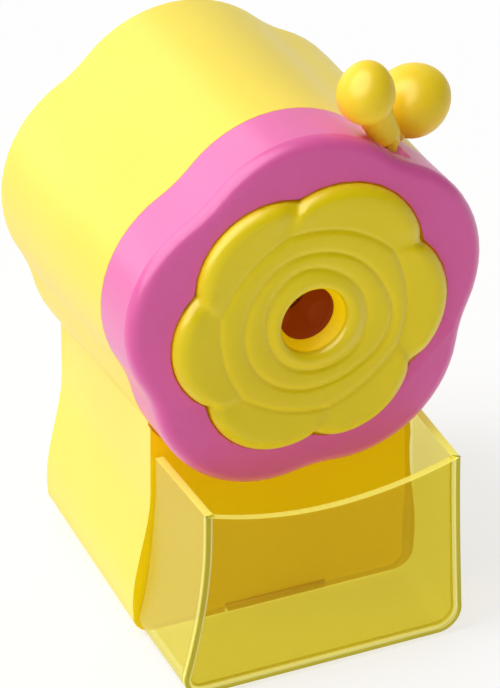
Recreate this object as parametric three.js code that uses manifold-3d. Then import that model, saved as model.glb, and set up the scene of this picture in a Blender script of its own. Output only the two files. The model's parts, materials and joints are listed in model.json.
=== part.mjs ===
// Flower-shaped desk pencil sharpener with a crank, a pull-out feed head and a clear bin.
// Millimetres, +Z up. The front faces -Y. The pieces are drawn with y = 0 at the front of the head;
// the finished group is moved so that its origin is on the desk at the middle of its footprint.
import * as THREE from 'three';
import { mergeVertices } from 'three/addons/utils/BufferGeometryUtils.js';
import Module from 'manifold-3d';

const wasm = await Module();
wasm.setup();

// ---------------------------------------------------------------- driving dimensions
const clearance = 0.3; // running gap between any two pieces
const wall = 2.2; // moulded wall of the body

// flower outline, shared by the head and the body: five round lobes, one of them on top
const lobeCount = 5;
const lobeRadius = 26.7;
const lobeReach = 14.4; // from the axis to each lobe's centre
const valleyRadius = 30.5; // of the hollow between two lobes
const flowerTurn = 3.5; // degrees that the top lobe leans to the left

const axisHeight = 81.2; // pencil axis above the desk
const standHeight = 1.0; // gap under the body, held open by the feet
const overlap = 0.1; // by which solids that are joined run into each other
const through = 1; // by which a cutting solid runs past the face that it opens

// feed head
const headDepth = 15.1;
const headEdge = 2.8; // rounding of the head's front edge
const headFront = 3.6; // thickness of the head's front wall
const headWall = 2.2;
const headTravel = 28;
const headPlateThickness = 2;

// rose plate
const roseRadius = 31.4;
const roseNotchRadius = 28.3;
const rosePetalEdges = [97, 157, 214, 271, 325, 387]; // degrees round the axis
const rosePocket = 2.0; // depth let into the head
const roseProud = 2.0; // height of the petals above the head
const roseGap = 0.35;
const roseEdge = 1.2; // rounding of the petals
const roseTiers = [[21.5, 0.5], [16.6, 0.8], [12.1, 1]]; // radius and height above the petals
const roseTierEdge = 0.4;
const pencilHole = 7.7; // radius of the opening in the rose
const pencilHoleDepth = 5; // over which it narrows to the collar's bore
const pencilHoleEdge = 2.4; // rounding of its mouth
const roseCollarBore = 6.2;
const roseCollarRadius = 9.6;

// body
const bodyDepth = 50.5;
const bodyFlare = 1.7; // growth of the flower outline towards the back
const rearCoverThickness = 2.4;
const cradleGap = 0.6; // room under the head where the pedestal comes forward
const openingRoom = 1.4; // of the front wall's opening, round the rose's collar

// pedestal
const pedestalStep = 1.4; // how far the pedestal comes forward under the head
const waistHalf = 30.2;
const footHalf = 34.4;
const pedestalTaper = 1.2; // loss of half width towards the back
const pedestalRise = 5; // how far it reaches into the flower
const flareTop = 37; // height where the sides start to curve out
const flareBottom = 9;
const footCorner = 5;

// clear bin
const binDepth = 25.4;
const binTopHalf = 30.4;
const binFootHalf = 33.2;
const binWall = 1.8;
const binDip = 5; // dip of the front rim, so that the head can pass over it
const binRimGap = 1.1; // between the dip and the head
const binBevel = 1.2;
const tongueWidth = 24;
const tongueThickness = 1.1;
const tongueDrop = 0.95; // underside of the tongue above the bin's underside
const tongueLength = 24;

// base plate and feet
const baseThickness = 4.4;
const baseHalf = 26.4;
const baseInset = 4.4; // of its back edge from the shell's back edge
const footPadRadius = 5;
const footPadTop = 2.4; // height of its upper face above the desk
const footPadSide = 5.9; // of the feet from the plate's sides
const footPadEnds = [14.5, 11.5]; // of the feet from its front and back edges
const baseScrewSides = [5.9, 2.9]; // of the front and rear screws from its sides
const baseScrewInset = 4.5; // of the screws from its front and back edges
const basePostHeight = 9;
const baseScrewLength = 8;
const baseScrewSink = 0.1; // of the heads above the plate's underside

// guide rods and feed springs
const rodOffset = 26; // each side of the axis
const rodRadius = 1.6;
const rodLength = 50;
const rodHeadRadius = 3.2;
const rodHeadThickness = 1.5;
const bushWall = 1.1;
const bushLength = 6.2;
const bossWall = 1.6;
const clipRadius = 4.2;
const clipThickness = 1.2;
const rodTail = 1.2; // length of a rod past its clip
const springWire = 0.55; // wire radius
const springCoilRadius = 3.1;
const springTurns = 7;

// chuck
const leverPlate = 1.7; // thickness of each lever's ring
const jawGuideDepth = 4.6;
const hubInner = 8.2;
const hubOuter = 9.8;
const ringOuter = 18.5;
const jawGuideRadius = 22;
const jawCount = 3;
const jawRest = 3.0; // radius of the closed jaws
const jawTravel = 1.2;
const jawWidth = 6;
const jawTip = 2; // width of the end that grips
const jawLength = 12.8;
const jawPlay = 0.1; // room in front of and behind a jaw
const jawPinRadius = 1.2;
const jawPinReach = 13.5;
const jawPinRecess = 0.4; // of the pins' ends in the rings
const camRoom = 0.35; // round a pin in its slot
const leverSqueeze = 3; // degrees that each lever turns
const postRing = 24.6; // radius that the chuck's three posts stand on
const postRadius = 2.8;
const chuckScrewRadius = 1.0;
const chuckScrewLength = 6;
const chuckScrewHeadRadius = 2.3;
const chuckScrewHeadHeight = 0.7;

// levers
const leverArmWidth = 5.2;
const stemRadius = 2.1;
const kneeRise = 1; // of each stem above the hollow before it turns towards its ball
const tailRing = 26; // radius of the posts that the lever spring joins
const tailPostRadius = 1.5;
const tailWidth = 3;
const leverSpringRadius = 1.5;
const leverSpringWire = 0.35; // wire radius
const leverSpringTurns = 5;
const leftTail = 205;
const rightTail = 228;
// each ball: its place round the axis and above the head, its two diameters, its long axis's lean
const leftBall = { angle: 73.4, stand: 1.9, y: 6, across: 12, tall: 13.6, lean: 98 };
const rightBall = { angle: 51.1, stand: 1, y: 16, across: 15.6, tall: 16.8, lean: 25 };
const leftStem = { angle: 57.5, y: 7.9 };
const rightStem = { angle: 53.5, y: 12.6 };
const stemRoot = 31; // radius where each stem leaves its arm
const slotRoom = 0.3; // beside the stems at rest

// cutter
const pencilConeAngle = 9; // degrees, half the angle of a sharpened point
const pencilTipInset = 17.9; // of the pencil's point from the shell's back edge
const cutterSide = 270; // the cutter lies below the pencil at rest
const cutterRadius = 4.6;
const cutterNeck = 5.15; // from the pinion's sleeve to the teeth
const cutterPast = 1.1; // how far it passes the pencil's point
const cutterTeeth = 10;
const cutterTwist = 70; // degrees over its length
const cutterRoot = 0.84; // radius between the teeth, as a share
const axleRadius = 1.4;
const axleLead = 0.6; // length of the axle in front of the pinion
const axleSeat = 3.2; // depth of the axle in the carrier's rear
const sleeveRadius = 2.5;
const gearModule = 0.65;
const pinionTeeth = 12;
const ringTeeth = 39;
const toothReach = 0.42; // height of a tooth above and below its pitch line
const gearWidth = 4.4;
const pinionInset = 2.2; // of the pinion behind the ring gear's front
const rootRelief = 0.25; // radial room behind each tooth tip
const toothShare = 0.36; // share of the tooth pitch that a tooth fills at its pitch line
const toothTaper = 0.09; // change of that share at the tip and at the root

// carrier
const ringGearOuter = 18;
const gearZone = 7.7; // depth of the toothed part of the ring gear
const ringGearDepth = 11.3;
const sleeveInner = 14.6;
const carrierFlange = 2.6;
const carrierRear = 6;
const carrierRearRadius = 13;
const railWidth = 8;
const railInner = 9.6;
const railOuter = 12.6;
const pencilBore = 4.7;
const hubRadius = 6.4;
const hubLength = 4;
const railOverlap = 0.5;
const shaftSocket = 1.2; // depth of the shaft's bore in the carrier's rear

// crank
const shaftRadius = 3;
const bushOuter = 5.6;
const bushDepth = 8;
const bushProud = 1.6; // behind the cover
const bushSeatWall = 3;
const gearSeatDepth = 5; // of the collar round the ring gear
const crankGap = 0.5; // between the bush and the crank
const crankThrow = 30;
const crankArmThickness = 4.6;
const crankHubDepth = 5.8;
const crankHubStep = 0.6; // of the hub past the arm's faces and edge
const crankHubRadius = 7;
const crankBossRadius = 5.4;
const crankScrewRadius = 1.4;
const crankScrewLength = 8;
const crankScrewHead = 3.8;
const crankScrewHeadHeight = 2;
const knobPinRadius = 1.9;
const knobLength = 23;
const knobRadius = 7.4;
const knobNeck = 5.6;
const knobRise = 0.5; // gap between the arm and the knob
const rivetRecess = 0.7;
const rivetRadius = 3.2;
const rivetHeight = 1.2;

// shavings chute
const chuteHalf = 14;
const chuteSheet = 1.4;
const chuteWallHeight = 6;
const mouthHalf = 11;
const mouthHeight = 4.6;
const mouthDrop = 2.5; // of its top below the head
const chuteRise = 20; // from the mouth to its back end
const chuteEndGap = 6.4; // from its back end to the shell's back edge
const ledgeDepth = 3;
const ledgeThickness = 2.4;

// fasteners
const screwRadius = 1.3;
const screwHeadRadius = 2.6;
const screwHeadHeight = 1.4;
const screwLength = 9;
const bossRadius = 3.6;
const bossLength = 15;
const bossFloor = 2; // left at the blind end of a screw hole
const upperBossInset = 3.2; // of the two upper bosses from the hollows between the lobes
const lowerBoss = [28.2, 14];

// ---------------------------------------------------------------- places worked out from them
const bodyFront = headDepth + clearance;
const bodyBack = bodyFront + bodyDepth;
const coverFront = bodyBack + clearance;
const coverBack = coverFront + rearCoverThickness;
const pedestalFront = bodyFront - pedestalStep;
const binBack = pedestalFront - clearance;
const binFront = binBack - binDepth;
const frontWallBack = bodyFront + wall;
const headPlateBack = headDepth - clearance;
const headPlateFront = headPlateBack - headPlateThickness;
const leftRingFront = headFront + clearance;
const guideFront = leftRingFront + leverPlate + clearance;
const guideBack = guideFront + jawGuideDepth;
const rightRingFront = guideBack + clearance;
const rightRingBack = rightRingFront + leverPlate;
const tan = (degrees) => Math.tan((degrees * Math.PI) / 180);
const sin = (degrees) => Math.sin((degrees * Math.PI) / 180);
const cos = (degrees) => Math.cos((degrees * Math.PI) / 180);

// ---------------------------------------------------------------- colours
const finish = (color, roughness, metalness = 0) =>
  new THREE.MeshStandardMaterial({ color, roughness, metalness });
const yellow = finish('#f6e55a', 0.42);
const roseYellow = finish('#d8c63c', 0.42);
const pink = finish('#ec6fae', 0.38);
const leverYellow = finish('#f0c928', 0.34);
const clearYellow = finish('#e9d64a', 0.12);
const steel = finish('#b9bcc0', 0.3, 1);
const darkSteel = finish('#74777c', 0.35, 1);
const brass = finish('#c9a24a', 0.35, 1);
const darkPlastic = finish('#3b3a3c', 0.5);
const amberPlastic = finish('#8a4a12', 0.5);
const rubber = finish('#4a4a4c', 0.85);

const part = new THREE.Group();
function place(name, geometry, material) {
  const mesh = new THREE.Mesh(surface(solid(geometry)), material);
  mesh.name = name;
  part.add(mesh);
}

// ---------------------------------------------------------------- solid helpers
function solid(geometry) {
  const bare = geometry.clone();
  bare.deleteAttribute('normal');
  bare.deleteAttribute('uv');
  const merged = mergeVertices(bare, 1e-4);
  const triangles = [];
  const index = merged.index.array;
  for (let i = 0; i < index.length; i += 3) {
    const [a, b, c] = [index[i], index[i + 1], index[i + 2]];
    if (a !== b && b !== c && c !== a) triangles.push(a, b, c);
  }
  const mesh = new wasm.Mesh({
    numProp: 3,
    vertProperties: new Float32Array(merged.attributes.position.array),
    triVerts: new Uint32Array(triangles),
  });
  return new wasm.Manifold(mesh);
}

function surface(manifold) {
  const mesh = manifold.getMesh();
  const geometry = new THREE.BufferGeometry();
  geometry.setAttribute('position', new THREE.BufferAttribute(mesh.vertProperties, 3));
  geometry.setIndex(new THREE.BufferAttribute(mesh.triVerts, 1));
  geometry.computeVertexNormals();
  return geometry;
}

const join = (...pieces) => surface(pieces.map(solid).reduce((a, b) => a.add(b)));
const cut = (body, ...tools) => surface(tools.map(solid).reduce((a, b) => a.subtract(b), solid(body)));

// closed solid through matching outlines [x, z], one for each depth y
function loft(sections) {
  const count = sections[0].points.length;
  const positions = [];
  for (const { y, points } of sections) {
    for (const [x, z] of points) positions.push(x, y, z);
  }
  const index = [];
  for (let s = 0; s + 1 < sections.length; s += 1) {
    for (let i = 0; i < count; i += 1) {
      const a = s * count + i;
      const b = s * count + ((i + 1) % count);
      index.push(a, a + count, b, b, a + count, b + count);
    }
  }
  const cap = (section, offset, flip) => {
    const outline = section.points.map(([x, z]) => new THREE.Vector2(x, z));
    for (const [a, b, c] of THREE.ShapeUtils.triangulateShape(outline, [])) {
      if (flip) index.push(offset + a, offset + c, offset + b);
      else index.push(offset + a, offset + b, offset + c);
    }
  };
  cap(sections[0], 0, false);
  cap(sections.at(-1), (sections.length - 1) * count, true);
  const geometry = new THREE.BufferGeometry();
  geometry.setAttribute('position', new THREE.Float32BufferAttribute(positions, 3));
  geometry.setIndex(index);
  // outlines run counterclockwise seen from the front, so the faces point outwards
  return geometry;
}
const slab = (points, y0, y1) => loft([{ y: y0, points }, { y: y1, points }]);

// turned solid about a line along Y through (x, z); profile is [radius, y]
function turned(profile, x, z, segments = 32) {
  const points = profile.map(([r, y]) => new THREE.Vector2(r, y));
  const area = profile.reduce((sum, [r, y], i) => {
    const [r2, y2] = profile[(i + 1) % profile.length];
    return sum + r * y2 - r2 * y;
  }, 0);
  if (area < 0) points.reverse();
  if (points.some((p) => p.x > 1e-6) && points[0].x > 1e-6) points.push(points[0].clone());
  return new THREE.LatheGeometry(points, segments).translate(x, 0, z);
}
const rod = (radius, y0, y1, x = 0, z = axisHeight, segments = 24) =>
  turned([[0, y0], [radius, y0], [radius, y1], [0, y1]], x, z, segments);
const ring = (inner, outer, y0, y1, x = 0, z = axisHeight, segments = 36) =>
  turned([[inner, y0], [outer, y0], [outer, y1], [inner, y1]], x, z, segments);
const box = (x0, x1, y0, y1, z0, z1) =>
  new THREE.BoxGeometry(x1 - x0, y1 - y0, z1 - z0)
    .translate((x0 + x1) / 2, (y0 + y1) / 2, (z0 + z1) / 2);
// turns a solid round the pencil axis; positive goes from +X towards +Z
function spin(geometry, degrees) {
  return geometry.clone().translate(0, 0, -axisHeight)
    .rotateY((-degrees * Math.PI) / 180).translate(0, 0, axisHeight);
}
// point on the front view, at a radius and an angle round the pencil axis
const polar = (radius, degrees) => [radius * cos(degrees), axisHeight + radius * sin(degrees)];

// ---------------------------------------------------------------- outlines
// five-lobed flower, grown outwards by offset
function flower(offset = 0, lobeSteps = 14, valleySteps = 6) {
  const half = 180 / lobeCount;
  const sum = lobeRadius + valleyRadius;
  const valleyReach = lobeReach * cos(half) + Math.sqrt(sum ** 2 - (lobeReach * sin(half)) ** 2);
  const valleyX = valleyReach * cos(half) - lobeReach;
  const flank = (Math.atan2(valleyReach * sin(half), valleyX) * 180) / Math.PI;
  const points = [];
  for (let lobe = 0; lobe < lobeCount; lobe += 1) {
    const middle = 90 + flowerTurn + (lobe * 360) / lobeCount;
    const [lobeX, lobeZ] = polar(lobeReach, middle);
    for (let i = 0; i <= lobeSteps; i += 1) {
      const angle = middle - flank + (2 * flank * i) / lobeSteps;
      points.push([lobeX + (lobeRadius + offset) * cos(angle), lobeZ + (lobeRadius + offset) * sin(angle)]);
    }
    const [valleyCentreX, valleyCentreZ] = polar(valleyReach, middle + half);
    const sweep = flank - half;
    for (let i = 1; i < valleySteps; i += 1) {
      const angle = middle + flank + 180 - (2 * sweep * i) / valleySteps;
      const reach = valleyRadius - offset;
      points.push([valleyCentreX + reach * cos(angle), valleyCentreZ + reach * sin(angle)]);
    }
  }
  return points;
}
const valleyDepth = Math.min(...flower().map(([x, z]) => Math.hypot(x, z - axisHeight)));
const valleyAngles = [-1, 1].map((side) => 90 + flowerTurn + (side * 180) / lobeCount);
const headUnderside = Math.min(...flower().map(([, z]) => z));
// distance from the axis to the flower's edge at an angle
function edgeReach(degrees) {
  const turned = flower().map(([x, z]) => [
    x * cos(degrees) + (z - axisHeight) * sin(degrees),
    (z - axisHeight) * cos(degrees) - x * sin(degrees),
  ]);
  const crossings = turned.map(([reach, side], i) => {
    const [nextReach, nextSide] = turned[(i + 1) % turned.length];
    const crosses = side <= 0 && nextSide > 0;
    return crosses ? reach - (side * (nextReach - reach)) / (nextSide - side) : 0;
  });
  return Math.max(...crossings);
}

// side of a foot that curves out from the waist, rounded at the bottom; one side, top to bottom
function footSide(topHalf, bottomHalf, top, bottom, corner) {
  const points = [[topHalf, top]];
  const steps = 8;
  for (let i = 0; i <= steps; i += 1) {
    const t = i / steps;
    const ease = t * t * (3 - 2 * t);
    points.push([topHalf + (bottomHalf - topHalf) * ease, flareTop + (flareBottom - flareTop) * t]);
  }
  for (let i = 1; i <= 5; i += 1) {
    const angle = (-90 * i) / 5;
    points.push([bottomHalf - corner + corner * cos(angle), bottom + corner + corner * sin(angle)]);
  }
  return points;
}
// full outline from one side, counterclockwise seen from the front
function mirrored(side) {
  const left = side.map(([x, z]) => [-x, z]);
  return [...left, ...side.slice().reverse()];
}
function pedestal(inset, taper, top, bottom = standHeight) {
  const side = footSide(
    waistHalf - inset - taper, footHalf - inset - taper, top, bottom, footCorner - inset,
  );
  return mirrored(side);
}
// arc from one point to another that bulges out to a given radius round the axis
function bulge([x0, z0], [x1, z1], peak, steps) {
  const chord = Math.hypot(x1 - x0, z1 - z0);
  const middle = [(x0 + x1) / 2, (z0 + z1) / 2];
  const outward = [middle[0], middle[1] - axisHeight];
  const reach = Math.hypot(...outward);
  const rise = peak - reach;
  const radius = (chord * chord) / (8 * rise) + rise / 2;
  const centre = middle.map((m, i) => m + (outward[i] / reach) * (rise - radius));
  const start = Math.atan2(z0 - centre[1], x0 - centre[0]);
  let sweep = Math.atan2(z1 - centre[1], x1 - centre[0]) - start;
  if (sweep < 0) sweep += 2 * Math.PI;
  const points = [];
  for (let i = 0; i < steps; i += 1) {
    const angle = start + (sweep * i) / steps;
    points.push([centre[0] + radius * Math.cos(angle), centre[1] + radius * Math.sin(angle)]);
  }
  return points;
}
// six round petals of slightly different width
function rose(offset = 0) {
  const points = [];
  for (let i = 0; i + 1 < rosePetalEdges.length; i += 1) {
    const from = polar(roseNotchRadius + offset, rosePetalEdges[i]);
    const to = polar(roseNotchRadius + offset, rosePetalEdges[i + 1]);
    points.push(...bulge(from, to, roseRadius + offset, 8));
  }
  const last = polar(roseNotchRadius + offset, rosePetalEdges.at(-1));
  const first = polar(roseNotchRadius + offset, rosePetalEdges[0] + 360);
  points.push(...bulge(last, first, roseRadius + offset, 8));
  return points;
}

// solid with its outline rounded off at the front
function roundedFront(outline, edge, y0, y1, steps = 4) {
  const sections = [];
  for (let i = 0; i <= steps; i += 1) {
    const angle = (90 * i) / steps;
    sections.push({ y: y0 + edge * (1 - cos(angle)), points: outline(edge * (sin(angle) - 1)) });
  }
  sections.push({ y: y1, points: outline(0) });
  return loft(sections);
}

// prism along X from an outline [y, z]
const prismX = (points, x0, x1) => slab(points, -x1, -x0).rotateZ(Math.PI / 2);

// round bar of a given radius along a smooth path
function bar(points, radius, steps) {
  const section = new THREE.Shape();
  section.absarc(0, 0, radius, 0, 2 * Math.PI);
  const path = points.length === 2
    ? new THREE.LineCurve3(...points)
    : new THREE.CatmullRomCurve3(points, false, 'centripetal');
  return new THREE.ExtrudeGeometry(section, { steps, extrudePath: path, curveSegments: 5 });
}
// coil spring along Y
class Coil extends THREE.Curve {
  constructor(radius, length, turns) {
    super();
    Object.assign(this, { radius, length, turns });
  }

  getPoint(t, target = new THREE.Vector3()) {
    const angle = 2 * Math.PI * this.turns * t;
    return target.set(this.radius * Math.cos(angle), this.length * t, this.radius * Math.sin(angle));
  }
}
function spring(radius, wire, length, turns) {
  const section = new THREE.Shape();
  section.absarc(0, 0, wire, 0, 2 * Math.PI);
  const coil = new Coil(radius, length - 2 * wire, turns);
  return new THREE.ExtrudeGeometry(section, { steps: turns * 9, extrudePath: coil, curveSegments: 3 })
    .translate(0, wire, 0);
}

// screw along Y with its head at the back, pointing to -Y
function screw(x, z, headBack, length, shank, head, headHeight) {
  return join(
    rod(shank, headBack - headHeight - length, headBack - headHeight + overlap, x, z, 10),
    rod(head, headBack - headHeight, headBack, x, z, 16),
  );
}

// ---------------------------------------------------------------- body
const mirroredX = [-1, 1];
const upperBosses = valleyAngles.map((angle) => polar(valleyDepth - upperBossInset, angle));
const lowerBosses = mirroredX.map((side) => [side * lowerBoss[0], lowerBoss[1]]);
const coverScrewPlaces = [...upperBosses, ...lowerBosses];
const pedestalTop = axisHeight - lobeRadius + pedestalRise; // inside the flower, where the two join
const baseTop = standHeight + baseThickness;
const baseFront = pedestalFront + wall + clearance;
const baseBack = bodyBack - baseInset;
const baseScrewPlaces = [
  [baseHalf - baseScrewSides[0], baseFront + baseScrewInset],
  [baseHalf - baseScrewSides[1], baseBack - baseScrewInset],
];
const tongueBottom = standHeight + tongueDrop;
const tongueTop = tongueBottom + tongueThickness;
const channelHalf = tongueWidth / 2 + clearance;
const bushInner = rodRadius + clearance;
const rodBushOuter = bushInner + bushWall;
const rodBossInner = rodBushOuter + clearance;
const gearFront = frontWallBack + clearance;
const gearBack = gearFront + ringGearDepth;
const screwHole = screwRadius + clearance;
const chuteFront = pedestalFront + wall + clearance;
const chuteBack = bodyBack - chuteEndGap;
const mouthTop = headUnderside - mouthDrop;
const mouthBottom = mouthTop - mouthHeight;
const chuteFloor = (y) => mouthBottom + (chuteRise * (y - chuteFront)) / (chuteBack - chuteFront);
const ledgeTop = mouthBottom - chuteSheet - clearance;

function bodyShell() {
  const outer = join(
    loft([
      { y: bodyFront, points: flower() },
      { y: bodyBack, points: flower(bodyFlare) },
    ]),
    cut(
      loft([
        { y: pedestalFront, points: pedestal(0, 0, pedestalTop) },
        { y: bodyBack, points: pedestal(0, pedestalTaper, pedestalTop) },
      ]),
      slab(flower(cradleGap), pedestalFront - through, bodyFront),
    ),
  );
  const pedestalHollow = cut(
    loft([
      { y: pedestalFront + wall, points: pedestal(wall, 0, pedestalTop - wall, standHeight + wall) },
      {
        y: bodyBack + through,
        points: pedestal(wall, pedestalTaper, pedestalTop - wall, standHeight + wall),
      },
    ]),
    slab(flower(cradleGap + wall), pedestalFront, frontWallBack),
  );
  const flowerHollow = loft([
    { y: frontWallBack, points: flower(-wall) },
    { y: bodyBack + through, points: flower(bodyFlare - wall) },
  ]);
  const shell = cut(outer, pedestalHollow, flowerHollow);
  const additions = [
    ring(ringGearOuter + clearance, ringGearOuter + clearance + bossWall, frontWallBack - overlap,
      gearFront + gearSeatDepth),
    box(-chuteHalf, chuteHalf, pedestalFront + wall - overlap, chuteFront + ledgeDepth,
      ledgeTop - ledgeThickness, ledgeTop),
    ...mirroredX.map((side) => rod(
      rodBossInner + bossWall, bodyFront, bodyFront + bushLength, side * rodOffset,
    )),
    ...upperBosses.map(([x, z]) => rod(bossRadius, bodyBack - bossLength, bodyBack, x, z, 16)),
    ...lowerBosses.map(([x, z]) => rod(bossRadius, bodyBack - bossLength, bodyBack, x, z, 16)),
    ...baseScrewPosts(),
  ];
  const removals = [
    rod(roseCollarRadius + openingRoom, bodyFront - through, frontWallBack + through),
    ...mirroredX.map((side) => rod(
      rodBossInner, bodyFront - through, bodyFront + bushLength + through, side * rodOffset,
    )),
    ...coverScrewPlaces.map(([x, z]) => rod(
      screwHole, bodyBack - bossLength + bossFloor, bodyBack + through, x, z, 10,
    )),
    box(-mouthHalf, mouthHalf, pedestalFront - through, pedestalFront + wall + through,
      mouthBottom, mouthTop),
    box(-channelHalf, channelHalf, pedestalFront - through, pedestalFront + wall + through,
      0, tongueTop + clearance),
    box(-baseHalf - clearance, baseHalf + clearance, baseFront - clearance, baseBack + clearance,
      0, baseTop + clearance),
    ...baseScrewHoles(baseTop, baseTop + clearance + basePostHeight - through),
  ];
  return cut(join(shell, ...additions), ...removals);
}

// posts inside the pedestal that the base plate is screwed to, joined to its walls
function baseScrewPosts() {
  const [[frontX, frontY], [rearX, rearY]] = baseScrewPlaces;
  const low = baseTop + clearance;
  const high = low + basePostHeight;
  const posts = [];
  for (const side of mirroredX) {
    const across = (a, b) => [Math.min(side * a, side * b), Math.max(side * a, side * b)];
    const [x0, x1] = across(frontX - bossRadius, frontX + bossRadius);
    posts.push(box(x0, x1, pedestalFront + wall - overlap, frontY + bossRadius, low, high));
    const [x2, x3] = across(rearX - bossRadius, footHalf - pedestalTaper - wall / 2);
    posts.push(box(x2, x3, rearY - bossRadius, rearY + bossRadius, low, high));
  }
  return posts;
}
function baseScrewHoles(z0, z1, radius = screwHole) {
  const holes = [];
  for (const [x, y] of baseScrewPlaces) {
    for (const side of mirroredX) {
      holes.push(new THREE.CylinderGeometry(radius, radius, z1 - z0, 10).rotateX(Math.PI / 2)
        .translate(side * x, y, (z0 + z1) / 2));
    }
  }
  return holes;
}
place('body_shell', bodyShell(), yellow);

function rearCover() {
  const plate = join(
    slab(flower(bodyFlare), coverFront, coverBack),
    slab(pedestal(0, pedestalTaper, pedestalTop), coverFront, coverBack),
  );
  const shelfTop = chuteFloor(chuteBack - ledgeDepth) - chuteSheet - 2 * clearance;
  const seat = bushOuter + clearance;
  return cut(
    join(
      plate,
      rod(seat + bushSeatWall, coverBack + bushProud - bushDepth, coverBack + bushProud - crankGap),
      box(-chuteHalf, chuteHalf, chuteBack - ledgeDepth, coverFront + overlap,
        shelfTop - ledgeThickness, shelfTop),
    ),
    rod(seat, coverBack - bushDepth, coverBack + bushProud + through),
    ...coverScrewPlaces.map(([x, z]) => rod(screwHole, coverFront - through, coverBack + through, x, z, 10)),
    ...coverScrewPlaces.map(([x, z]) => rod(
      screwHeadRadius + clearance, coverBack - screwHeadHeight, coverBack + through, x, z, 16,
    )),
  );
}
place('rear_cover', rearCover(), yellow);
coverScrewPlaces.forEach(([x, z], i) => {
  place(`cover_screw_${i + 1}`, screw(
    x, z, coverBack + clearance, screwLength, screwRadius, screwHeadRadius, screwHeadHeight,
  ), steel);
});

function basePlate() {
  const channelTop = tongueTop + clearance;
  return cut(
    box(-baseHalf, baseHalf, baseFront, baseBack, standHeight, baseTop),
    box(-channelHalf, channelHalf, baseFront - through, binBack + tongueLength + clearance,
      tongueBottom - clearance, channelTop),
    ...footPadPlaces().map(([x, y]) => pad(x, y, footPadRadius + clearance, 0, footPadTop + clearance)),
    ...baseScrewHoles(0, baseTop + through),
    ...baseScrewHoles(0, standHeight + screwHeadHeight, screwHeadRadius + clearance),
  );
}
function footPadPlaces() {
  const rows = [baseFront + footPadEnds[0], baseBack - footPadEnds[1]];
  return rows.flatMap((y) => mirroredX.map((side) => [side * (baseHalf - footPadSide), y]));
}
const pad = (x, y, radius, z0, z1) => new THREE.CylinderGeometry(radius, radius, z1 - z0, 20)
  .rotateX(Math.PI / 2).translate(x, y, (z0 + z1) / 2);
place('base_plate', basePlate(), yellow);
footPadPlaces().forEach(([x, y], i) => {
  place(`rubber_foot_${i + 1}`, pad(x, y, footPadRadius, 0, footPadTop), rubber);
});
baseScrewPlaces.flatMap(([x, y]) => mirroredX.map((side) => [side * x, y])).forEach(([x, y], i) => {
  const upright = screw(
    0, 0, 0, baseScrewLength, screwRadius, screwHeadRadius, screwHeadHeight - clearance - baseScrewSink,
  ).rotateX(-Math.PI / 2).translate(x, y, standHeight + baseScrewSink);
  place(`base_screw_${i + 1}`, upright, steel);
});

// bin with open top and back, held by a tongue in the base plate's channel
const binHeight = headUnderside - binRimGap + binDip;
function clearBin() {
  const outline = (inset, top, bottom = standHeight) => mirrored(footSide(
    binTopHalf - inset, binFootHalf - inset, top, bottom + inset, footCorner - inset,
  ));
  const outer = loft([
    { y: binFront, points: outline(binBevel, binHeight) },
    { y: binFront + binBevel, points: outline(0, binHeight) },
    { y: binBack, points: outline(0, binHeight) },
  ]);
  const inner = slab(outline(binWall, binHeight + through), binFront + binWall, binBack + through);
  const dipHalf = binTopHalf - binBevel;
  const dipRadius = (dipHalf ** 2 + binDip ** 2) / (2 * binDip);
  const dip = rod(
    dipRadius, binFront - through, binFront + binWall + overlap, 0, binHeight - binDip + dipRadius, 180,
  );
  const tongue = box(-tongueWidth / 2, tongueWidth / 2, binBack - binWall, binBack + tongueLength,
    tongueBottom, tongueTop);
  return cut(join(cut(outer, inner), tongue), dip);
}
place('clear_bin', clearBin(), clearYellow);

function chute() {
  const [low, high] = [chuteFloor(chuteFront), chuteFloor(chuteBack)];
  const under = [[chuteFront, low - chuteSheet], [chuteBack, high - chuteSheet]];
  const floor = [...under, [chuteBack, high], [chuteFront, low]];
  const sideTop = mouthTop - 3 * clearance; // under the cradle's roof
  const side = [
    ...under,
    [chuteBack, high + chuteWallHeight],
    [gearFront + chuteWallHeight, chuteFloor(gearFront) + chuteWallHeight],
    [gearFront, sideTop],
    [chuteFront, sideTop],
  ];
  return join(
    prismX(floor, -chuteHalf, chuteHalf),
    prismX(side, -chuteHalf, -chuteHalf + chuteSheet),
    prismX(side, chuteHalf - chuteSheet, chuteHalf),
  );
}
place('shavings_chute', chute(), darkPlastic);

// ---------------------------------------------------------------- head
const slotAngle = (leftStem.angle + rightStem.angle) / 2;
const slotHalf = (leftStem.angle - rightStem.angle) / 2; // the stems move towards each other
const slotHalfWidth = stemRadius + slotRoom + valleyDepth * tan(slotHalf);
const slotFront = leftStem.y - stemRadius - clearance;
const stemSlot = (inner, y0, y1) => spin(box(
  inner, valleyDepth + stemRadius * 2, y0, y1, axisHeight - slotHalfWidth, axisHeight + slotHalfWidth,
), slotAngle);

function headCover() {
  return cut(
    roundedFront((offset) => flower(offset), headEdge, 0, headDepth),
    slab(flower(-headWall), headFront, headDepth + through),
    slab(rose(roseGap), -through, rosePocket),
    rod(roseCollarRadius + clearance, -through, headFront + through),
    stemSlot(stemRoot, slotFront, headDepth + through),
  );
}
place('head_cover', headCover(), pink);

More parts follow.
